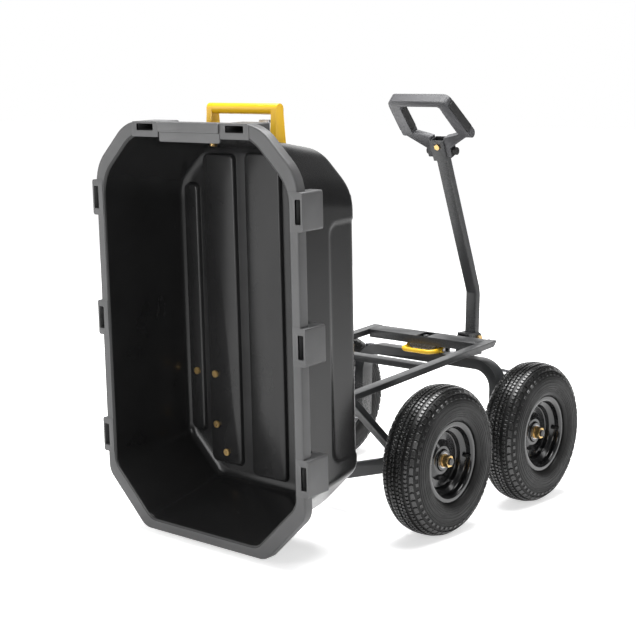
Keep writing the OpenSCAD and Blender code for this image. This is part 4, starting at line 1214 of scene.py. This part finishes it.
    def pocket(self) -> Piece:
        """Draws one pocket block with its slot.

        Returns:
            The pocket, standing at the middle of its place.
        """
        x = self.pocket_l / 2
        outline = rectangle((-x, -self.flange), (x, self.pocket_proud), self.pocket_rounds)
        block = prism("pocket", outline, self.depth - self.pocket_h, self.depth + self.pocket_rise)
        return bevelled(cut(block, [self.slot()]), self.pocket_edge)

    def lips(self) -> list[Piece]:
        """Draws the two lips at the middle of the rim's front.

        Returns:
            The outer lip and the inner one.
        """
        front, half, (far, near) = self.rim_front, self.lip_half, self.inner_lip
        outline = rectangle((front - self.flange, -half), (front, half), self.lip_round)
        lip = prism("lip", outline, self.depth - self.lip_root, self.depth + self.lip_rise)
        outline = rectangle((front - far, -half), (front - near, half), self.inner_lip_round)
        inner = prism("inner_lip", outline, self.depth - self.sheet, self.depth - self.inner_lip_gap)
        return [bevelled(lip, self.lip_edge, 2), bevelled(inner, self.inner_lip_edge, 2)]

    def build(self) -> None:
        """Builds the moulding, its walls in the first finish and its rim in the second."""
        # The rim's finish is paler partly as painted light, for the light that the rim catches from above and
        # behind.
        finishes = (Finish.TUB, Finish.RIM)
        places = self.pocket_places()
        shell = dressed(self.shell(), *finishes)
        tools = [moved(self.slot(), place) for place in places]
        for outline in self.panel_outlines(self.wall):
            tools.append(prism("hollow", outline, -self.overcut, self.panel_hollow))
        parts = [smooth(part, self.crease) for part in (cut(shell, tools), *self.panels())]
        model = self.pocket()
        blocks = [moved(linked("pocket_copy", model.data.copy()), place) for place in places]
        bpy.data.objects.remove(model)
        parts += [in_slot(part, 1) for part in blocks + self.lips()]
        tub = moved(dressed(joined("tub_moulding", parts), *finishes), self.pose())
        placed(smooth(tub, self.joint_crease), "tub", ["tub"])


@dataclass
class TubFittings:
    """The lifting handle, the bolts and the steel under the tub."""

    tub: Tub = field(default_factory=Tub)
    handle: SoftNode = SoftNode("tub_handle", "tub", "yellow_plastic", 4.5, 4)
    steel: tuple[SoftNode, ...] = (
        SoftNode("bed_plate_left", "tub", "frame_paint", 0.8, 2),
        SoftNode("bed_plate_right", "tub", "frame_paint", 0.8, 2),
        SoftNode("tub_striker", "tub", "plain_steel", 0.8, 2),
    )
    # Places of the floor bolts: the distance ahead of the hinge and the one from the middle.
    bolts: tuple[Point, ...] = ((24.0, 208.0), (24.0, 152.0), (-92.0, 152.0), (-153.0, 124.0))
    head_r: float = 8.0
    head_h: float = 4.0
    # The corners of a bolt head on its washer: shares of its radius and height, and a rounding.
    head_corners: tuple[tuple[float, float, float], ...] = (
        (1.0, 0.0, 0.4), (1.0, 0.3, 0.4), (0.78, 0.34, 0.3), (0.66, 0.85, 1.6),
    )
    head_segments: int = 32
    head_crease: float = 35.0

    def head(self) -> Piece:
        """Draws a domed bolt head on a washer.

        Returns:
            The head, standing along Z from the seat.
        """
        corners = [(self.head_r * r, self.head_h * h) for r, h, _ in self.head_corners]
        outline = [(AXIS_R, 0.0), *corners, (AXIS_R, self.head_h)]
        radii = [0.0, *(rounding for _, _, rounding in self.head_corners), 0.0]
        return smooth(lathe("head", rounded(outline, radii, 4), self.head_segments), CREASE)

    def build(self, sets: SetOf) -> None:
        """Builds the fittings.

        Args:
            sets: The node group that repeats the bolts.
        """
        self.handle.build()
        pose = self.tub.pose()
        hinge_u = (pose.inverted() @ joint_place("tub_tip")).x
        seat = self.tub.wall + self.tub.panel_h
        places = [Vector((hinge_u + u, side.value * v, seat)) for u, v in self.bolts for side in Side]
        heads = moved(sets.apply(self.head(), places, Finish.ZINC), pose)
        heads.name = "floor_bolt_heads"
        placed(smooth(heads, self.head_crease), "tub")
        for part in self.steel:
            part.build()


@dataclass(frozen=True)
class TreadRow:
    """A row of tread blocks on each side of the tyre's middle, in millimetres.

    The share is of the pitch round the tyre, the skew makes a block a chevron, the phase is a share of a turn
    to the next block, and the drop is how far the block stays below the full tread.
    """

    z: float
    count: int
    share: float
    width: float
    skew: float
    phase: float
    drop: float


@dataclass
class Wheel:
    """A pneumatic wheel, drawn in millimetres with its outside towards +Z."""

    tyre_r: float = 165.0
    tyre_w: float = 94.0
    bulge_share: float = 0.45
    shoulder_power: float = 0.72
    shoulder_steps: int = 14
    side_steps: int = 8
    side_inset: float = 1.2
    flange_gap: float = 1.5
    lip_gap: float = 1.0
    seat_inset: float = 4.0
    bead_depth: float = 9.0
    # The ring lines on the tyre's sides: the radii that they lie between, and the shape of each.
    lines: Point = (100.0, 140.0)
    line_foot: float = 0.2
    line_top: float = 0.12
    line_proud: float = 0.7
    tyre_crease: float = 38.0

    tread: float = 3.0
    rows: tuple[TreadRow, ...] = (
        TreadRow(5.4, 104, 0.8, 6.8, 2.4, 0.0, 0.0),
        TreadRow(12.9, 104, 0.8, 6.8, -2.4, 0.5, 0.1),
        TreadRow(25.0, 104, 0.78, 8.0, 2.2, 0.0, 0.3),
        TreadRow(35.0, 52, 0.86, 10.5, -1.6, 0.5, 0.7),
        TreadRow(42.2, 52, 0.5, 7.5, 0.0, 0.2, 1.5),
    )
    block_root: float = 2.5
    block_taper: float = 0.86
    block_edge: float = 0.5

    bead_r: float = 78.0
    flange_r: float = 89.0
    rim_w: float = 72.0
    rim_sheet: float = 3.0
    seat_gap: float = 0.05
    well_depth: float = 12.0
    well_half: float = 12.0
    well_edge: float = 18.0
    dish_share: float = 0.67
    disc_z: float = 6.0
    # Shares of the dish's radius where the disc's cone starts and ends at its back, and ends at its front.
    cone: tuple[float, float, float] = (0.98, 0.68, 0.7)
    hub_r: float = 23.0
    bore_r: float = 17.5
    hub_out: float = 14.0
    hub_in: float = 42.0
    rim_crease: float = 40.0
    segments: int = 128
    # How far each next wheel is turned, so that no two stand alike.
    turn_step: float = 0.37

    def side(self) -> list[Vector]:
        """Gives the tyre's outer side.

        Returns:
            The radius and height of its points, from the crown to the flange.
        """
        bulge = self.bead_r + (self.tyre_r - self.bead_r) * self.bulge_share
        rise = self.tyre_r - self.tread - bulge
        fall = bulge - self.flange_r - self.flange_gap
        half, lip = self.tyre_w / 2 - self.side_inset, self.rim_w / 2 + self.lip_gap
        made = []
        for s, c in quarter(self.shoulder_steps):
            r = bulge + rise * max(s, 0.0) ** self.shoulder_power
            made.append(Vector((r, half * c**self.shoulder_power)))
        for c, s in quarter(self.side_steps)[1:]:
            made.append(Vector((bulge - fall * s, lip + (half - lip) * c)))
        return made

    def crown_at(self, z: float) -> Point:
        """Finds the carcass under a tread block.

        Args:
            z: The distance from the tyre's middle.

        Returns:
            The carcass radius there, and its slope in radians.
        """
        points = sorted((p.y, p.x) for p in self.side()[:self.shoulder_steps + 1])
        for (z0, r0), (z1, r1) in zip(points, points[1:]):
            if z0 <= abs(z) <= z1:
                t = (abs(z) - z0) / (z1 - z0)
                return r0 + (r1 - r0) * t, math.atan2(r0 - r1, z1 - z0)
        return points[-1][1], math.pi / 2

    def carcass(self) -> Piece:
        """Draws the tyre's smooth body with ring lines on its sides.

        Returns:
            The body, about the wheel's axis.
        """
        side = self.side()
        ringed: list[Vector] = []
        for a, b in zip(side, side[1:]):
            ringed.append(a)
            if self.lines[0] < (a.x + b.x) / 2 < self.lines[1]:
                normal = Vector((b.y - a.y, a.x - b.x)).normalized()
                out = normal * math.copysign(self.line_proud, normal.y)
                mid, foot, top = (a + b) / 2, (a - b) * self.line_foot, (a - b) * self.line_top
                ringed += [mid + foot, mid + top + out, mid - top + out, mid - foot]
        ringed.append(side[-1])
        seat = self.rim_w / 2 - self.seat_inset
        ringed.append(Vector((self.flange_r + self.flange_gap, seat)))
        ringed += [Vector((self.bead_r, z)) for z in (seat, seat - self.bead_depth)]
        other = [Vector((p.x, -p.y)) for p in reversed(ringed) if abs(p.y) > 1e-6]
        return smooth(lathe("carcass", ringed + other, self.segments), self.tyre_crease)

    def block(self, row: TreadRow, side: Side) -> Piece:
        """Draws one tread block standing on the crown.

        Args:
            row: The row that it belongs to.
            side: The side of the tyre's middle.

        Returns:
            The block, about the wheel's axis.
        """
        x, y = math.pi * self.tyre_r / row.count * row.share, row.width / 2
        outline = [(-x, -y), (-x + row.skew, 0), (-x, y), (x, y), (x + row.skew, 0), (x, -y)]
        high = self.tread - row.drop
        levels = ((-self.block_root, 1.0), (high, self.block_taper))
        made = solid("block", [[(h, u * share, v * share) for u, v in outline] for h, share in levels])
        r, slope = self.crown_at(row.z)
        stand = Matrix.Translation((r, 0, row.z * side.value)) @ Matrix.Rotation(-slope * side.value, 4, "Y")
        return bevelled(moved(made, stand), self.block_edge, 1)

    def tyre(self, rings: RingOf) -> Piece:
        """Draws the tyre, its body in the first slot and its tread in the second.

        Args:
            rings: The node group that repeats the tread blocks.

        Returns:
            The tyre, about the wheel's axis.
        """
        parts = [self.carcass()]
        for row in self.rows:
            turn = 2 * math.pi / row.count * row.phase
            for side in Side:
                ring = rings.apply(self.block(row, side), row.count, turn, Finish.TREAD)
                parts.append(in_slot(smooth(ring, CREASE), 1))
        return joined("tyre", parts)

    def rim(self) -> Piece:
        """Draws the pressed steel rim with its hub, each corner with its own rounding.

        Returns:
            The rim, about the wheel's axis.
        """
        face, sheet, half = self.rim_w / 2, self.rim_sheet, self.rim_sheet / 2
        lip, seat, flange = face - sheet, self.bead_r - self.seat_gap, self.flange_r
        well, edge, disc = self.well_half, self.well_edge, self.disc_z
        drop = self.bead_r - self.well_depth
        under, low, dish = seat - sheet, drop - sheet, drop * self.dish_share
        hub, bore, front, back = self.hub_r, self.bore_r, self.hub_out, -self.hub_in
        outer, inner, top = (dish * share for share in self.cone)
        corners = [
            (flange, face, 1.4), (flange, lip, 1.0), (seat, lip, 0.3), (seat, edge, 0.5),
            (drop, well, 2.0), (drop, -well, 2.0), (seat, -edge, 0.5), (seat, -lip, 0.3),
            (flange, -lip, 1.0), (flange, -face, 1.4), (under, -face, 7.5), (under, -edge - half, 4.0),
            (low, -well - half, 3.0), (low, -half, 2.5), (outer, -half, 5.0), (inner, disc, 4.0),
            (hub, disc, 2.0), (hub, back, 1.0), (bore, back, 0.8),
            (bore, front, 0.8), (hub, front, 1.5), (hub, disc + sheet, 3.0),
            (top, disc + sheet, 5.0), (dish, half, 6.0), (low, half, 3.5), (low, well + half, 4.0),
            (under, edge + half, 5.0), (under, face, 7.5),
        ]
        outline = rounded([(r, z) for r, z, _ in corners], [rounding for _, _, rounding in corners], 5)
        return smooth(lathe("rim", outline, self.segments), self.rim_crease)

    def build(self, rings: RingOf) -> None:
        """Builds the four wheels.

        Args:
            rings: The node group that repeats the tread blocks.
        """
        models = (
            (self.tyre(rings), (Finish.TYRE, Finish.TREAD), "tyre_rubber", "tyre_"),
            (self.rim(), (Finish.WHEEL,), "rim_paint", "rim_"),
        )
        for i, corner in enumerate(Corner):
            place = (
                Matrix.Translation(joint_place("spin_" + corner.value))
                @ Matrix.Rotation(math.radians(-90 * corner.side.value), 4, "X")
                @ Matrix.Rotation(self.turn_step * (i + 1), 4, "Z")
                @ Matrix.Scale(MM, 4)
            )
            for model, finishes, slot, prefix in models:
                node = prefix + corner.value
                piece = moved(linked("look_" + node, model.data.copy()), place)
                placed(dressed(piece, *finishes), "wheel_" + corner.value, [node])
        for model, *_ in models:
            bpy.data.objects.remove(model)


@dataclass
class Chassis:
    """The steel frame, the axles and the steering."""

    edge: float = 2.2
    plate_edge: float = 0.9
    nut_edge: float = 0.7
    tubes: tuple[str, ...] = (
        "rail_left", "rail_right", "front_cross_plate", "axle_saddle", "front_arch",
        "strut_left", "strut_right", "rear_axle_beam", "rear_cross_bar",
    )
    plates: tuple[tuple[str, str], ...] = (
        ("steering_yoke", "yoke"), ("knuckle_left", "knuckle_left"), ("knuckle_right", "knuckle_right"),
        ("lever_bracket", "chassis"),
    )
    nuts: tuple[tuple[str, str], ...] = (
        ("rear_nuts", "chassis"), ("front_nut_left", "knuckle_left"), ("front_nut_right", "knuckle_right"),
    )

    def build(self) -> None:
        """Builds the chassis' pieces."""
        for node in self.tubes:
            SoftNode(node, "chassis", "frame_paint", self.edge).build()
        for node, body in self.plates:
            SoftNode(node, body, "frame_paint", self.plate_edge).build()
        for node, body in self.nuts:
            SoftNode(node, body, "yellow_zinc", self.nut_edge, 2).build()


@dataclass
class ReleaseLever:
    """The yellow release loop on its rod, in millimetres."""

    bar_r: float = 5.5
    bar_steps: int = 20
    width: float = 96.0
    reach: float = 40.0
    drop: float = 3.0
    bend_r: float = 14.0
    # The loop's corners as shares of its reach and width.
    corners: tuple[Point, ...] = (
        (0.0, 0.5), (-0.75, 0.47), (-1.0, 0.36), (-1.0, -0.36), (-0.75, -0.47), (0.0, -0.5),
    )
    collar_bore_r: float = 4.1
    collar_r: float = 7.5
    collar_half: float = 5.5
    collar_round: float = 1.0
    collar_segments: int = 32
    bar_crease: float = 50.0
    crease: float = 40.0

    def build(self) -> None:
        """Builds the loop with a round section and a collar at each end."""
        place = joint_place("lever_pull")
        level = math.sqrt(self.reach**2 - self.drop**2)
        path = [place + Vector((x * level, y * self.width, x * self.drop)) * MM for x, y in self.corners]
        angles = [2 * math.pi * i / self.bar_steps for i in range(self.bar_steps)]
        circle = [Vector((math.cos(a), math.sin(a))) * self.bar_r * MM for a in angles]
        loop = sweep("loop", rounded_path(path, self.bend_r * MM), circle, Vector((0, 0, 1)))
        parts = [smooth(loop, self.bar_crease)]
        ring = rectangle((self.collar_bore_r, -self.collar_half), (self.collar_r, self.collar_half),
                         self.collar_round, 3)
        upright = Matrix.Rotation(math.pi / 2, 4, "X") @ Matrix.Scale(MM, 4)
        for side in Side:
            collar = smooth(lathe("collar", ring, self.collar_segments), CREASE)
            end = place + Vector((0, side.value * self.width / 2 * MM, 0))
            parts.append(moved(collar, Matrix.Translation(end) @ upright))
        lever = smooth(dressed(joined("lever_loop", parts), Finish.YELLOW), self.crease)
        placed(lever, "lever", ["release_lever"])


@dataclass
class PullHandle:
    """The bent shaft with its clevis and the grip loop, in millimetres."""

    width: float = 32.0
    depth: float = 22.0
    corner: float = 4.5
    bend_z: float = 455.0
    lean: float = 23.5
    upper: float = 382.0
    foot: float = 18.0
    bend_r: float = 60.0
    bend_steps: int = 12
    # How thin the tube is at the middle of its bend, and the steps over which it gets so.
    pinch: float = 0.93
    pinch_steps: int = 4
    crease: float = 40.0
    fittings: tuple[SoftNode, ...] = (
        SoftNode("handle_clevis", "handle", "frame_paint", 1.6),
        SoftNode("handle_bolt", "handle", "yellow_zinc", 0.6, 2),
        SoftNode("clevis_bolt", "handle", "yellow_zinc", 0.6, 2),
        SoftNode("grip_loop", "grip", "grip_plastic", 5.5, 5),
        SoftNode("grip_pads", "grip", "grip_rubber", 1.2),
        SoftNode("grip_knob", "grip", "grip_rubber", 1.0),
    )

    def build(self) -> None:
        """Builds the handle's pieces."""
        hinge = joint_place("handle_swing")
        bend = Vector((hinge.x, 0, self.bend_z * MM))
        lean = math.radians(self.lean)
        end = bend + Vector((-math.sin(lean), 0, math.cos(lean))) * self.upper * MM
        start = hinge - Vector((0, 0, self.foot * MM))
        path = rounded_path([start, bend, end], self.bend_r * MM, self.bend_steps)
        x, y = self.width / 2, self.depth / 2
        section = [p * MM for p in rectangle((-x, -y), (x, y), self.corner, 5)]
        middle = (len(path) - 1) / 2

        def squeeze(i: int) -> Point:
            """Gives the section's scales at a point of the path."""
            near = max(0.0, 1 - abs(i - middle) / self.pinch_steps)
            return 1.0, 1 - (1 - self.pinch) * near

        shaft = smooth(sweep("shaft", path, section, Vector((0, 1, 0)), squeeze), self.crease)
        placed(dressed(shaft, Finish.FRAME), "handle", ["handle_shaft"])
        for part in self.fittings:
            part.build()


class PlainNodes:
    """The CAD nodes that are shown as they are."""

    def build(self) -> None:
        """Gives each shown CAD node the finish of its slot."""
        for part in frame["record"]["subparts"]:
            node = frame["nodes"][part["node"]]
            if not node.hide_render:
                dressed(node, SLOT_FINISHES[part["material_slot"]])
                LOG.info("node %s as %s", part["node"], part["material_slot"])


# The stage


@dataclass(frozen=True)
class Lamp:
    """A soft rectangular light: where it hangs and points, its size in metres and its power in watts."""

    name: str
    place: Place
    aim: Place
    size: Point
    power: float

    def hang(self) -> None:
        """Hangs the light."""
        data = bpy.data.lights.new(self.name, "AREA")
        data.shape = "RECTANGLE"
        data.size, data.size_y = self.size
        data.energy = self.power
        turn = (Vector(self.aim) - Vector(self.place)).to_track_quat("-Z", "Y").to_matrix().to_4x4()
        linked(self.name, data).matrix_world = Matrix.Translation(self.place) @ turn


@dataclass
class Studio:
    """The pale floor, the soft lights and the camera of the photo."""

    # The camera's place from the rear axle, its angles in degrees, and its lens in pixels of the picture.
    eye: Place = (-2.5633, -2.045, 0.9295)
    yaw: float = 40.88
    pitch: float = 7.09
    roll: float = 0.72
    focal_px: float = 1450.4
    centre_px: Point = (277.3, 283.3)
    picture_px: float = 636.0
    sensor: float = 36.0
    clip: Point = (0.05, 60.0)

    floor_r: float = 60.0
    paper_low: Colour = (0.86, 0.86, 0.86)
    paper_high: Colour = (0.9, 0.9, 0.9)
    paper_cloud: Noise = Noise(3.0)
    paper_mottle: Noise = Noise(20.0)
    paper_rough: Span = Span(0.6, 0.75)
    paper_tooth: Noise = Noise(200.0)
    paper_relief: Relief = Relief(0.05, 0.0005)
    # The floor's glow, from under the cart to the distance where it is white.
    glow: Span = Span(0.6, 1.0, 0.7, 2.4)
    # The shares of what shows of the floor and the surround with which they light the cart.
    floor_light: float = 0.45
    surround: float = 0.07

    lamps: tuple[Lamp, ...] = (
        Lamp("top", (0.2, 0.1, 3.4), (0.1, 0.0, 0.3), (2.6, 2.6), 215.0),
        Lamp("rear", (-2.4, 2.4, 1.3), (-0.2, 0.0, 0.5), (2.8, 2.6), 38.0),
        Lamp("behind", (-3.2, 0.5, 1.0), (-0.2, 0.0, 0.5), (0.9, 2.0), 36.0),
        Lamp("near", (-2.5, -2.3, 1.7), (0.1, 0.0, 0.4), (0.9, 0.9), 13.0),
        Lamp("side", (-0.4, -3.4, 1.6), (0.1, 0.0, 0.4), (1.6, 1.6), 5.0),
        Lamp("strip", (1.6, -2.6, 1.4), (0.2, 0.0, 0.4), (0.4, 2.0), 8.0),
        Lamp("backdrop", (3.6, 3.1, 1.6), (0.0, 0.0, 0.5), (7.0, 3.0), 75.0),
    )

    def camera(self) -> None:
        """Sets the camera at the photo's place and angle."""
        yaw, pitch, roll = (math.radians(v) for v in (self.yaw, self.pitch, self.roll))
        ahead = Vector((math.cos(yaw) * math.cos(pitch), math.sin(yaw) * math.cos(pitch), -math.sin(pitch)))
        right = Vector((math.sin(yaw), -math.cos(yaw), 0))
        up = right.cross(ahead)
        right, up = right * math.cos(roll) + up * math.sin(roll), up * math.cos(roll) - right * math.sin(roll)
        data = bpy.data.cameras.new("camera")
        data.sensor_width = self.sensor
        data.lens = self.sensor * self.focal_px / self.picture_px
        data.shift_x = 0.5 - self.centre_px[0] / self.picture_px
        data.shift_y = self.centre_px[1] / self.picture_px - 0.5
        data.clip_start, data.clip_end = self.clip
        data.dof.use_dof = False
        turn = Matrix((right, up, -ahead)).transposed().to_4x4()
        axle = Vector((joint_place("spin_rear_left").x, 0, 0))
        camera = linked("camera", data)
        camera.matrix_world = Matrix.Translation(Vector(self.eye) + axle) @ turn
        bpy.context.scene.camera = camera

    def floor(self) -> None:
        """Lays the pale floor, which fades to white away from the cart."""
        r = self.floor_r
        plane = mesh_object("floor", [(-r, -r, 0), (r, -r, 0), (r, r, 0), (-r, r, 0)], [(0, 1, 2, 3)])
        g = Graph("floor_paper")
        colour = g.mixed(g.noise(self.paper_cloud), self.paper_low, self.paper_high)
        rough = g.span(g.noise(self.paper_mottle), self.paper_rough)
        material = g.done(colour, rough, g.bump(g.noise(self.paper_tooth), self.paper_relief))
        away = g.node("VectorMath", "Value", {0: g.place}, operation="LENGTH")
        seen = g.node("LightPath", "Is Camera Ray", {})
        lit = g.product(g.span(away, self.glow), g.span(seen, Span(self.floor_light, 1.0, 0.0, 1.0)))
        g.shader.inputs["Emission Color"].default_value = (1.0, 1.0, 1.0, 1.0)
        g.links.new(lit, g.shader.inputs["Emission Strength"])
        plane.data.materials.append(material)

    def world(self) -> None:
        """Gives a white surround that lights the cart less than it shows."""
        world = bpy.context.scene.world or bpy.data.worlds.new("world")
        bpy.context.scene.world = world
        world.use_nodes = True
        nodes, links = world.node_tree.nodes, world.node_tree.links
        back, path = nodes["Background"], nodes.new("ShaderNodeLightPath")
        level = nodes.new("ShaderNodeMapRange")
        level.inputs["To Min"].default_value = self.surround
        level.inputs["To Max"].default_value = 1.0
        back.inputs["Color"].default_value = (1.0, 1.0, 1.0, 1.0)
        links.new(path.outputs["Is Camera Ray"], level.inputs["Value"])
        links.new(level.outputs["Result"], back.inputs["Strength"])

    def build(self) -> None:
        """Sets the stage."""
        self.floor()
        self.camera()
        self.world()
        for lamp in self.lamps:
            lamp.hang()
        bpy.context.scene.view_settings.view_transform = "Standard"


def main() -> None:
    """Builds the looks of the cart and the stage."""
    logging.basicConfig(level=logging.INFO, format="%(message)s")
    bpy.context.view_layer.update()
    rings, sets = RingOf(), SetOf()
    Tub().build()
    TubFittings().build(sets)
    Wheel().build(rings)
    Chassis().build()
    ReleaseLever().build()
    PullHandle().build()
    PlainNodes().build()
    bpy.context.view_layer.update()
    Studio().build()


if __name__ == "__main__":
    main()
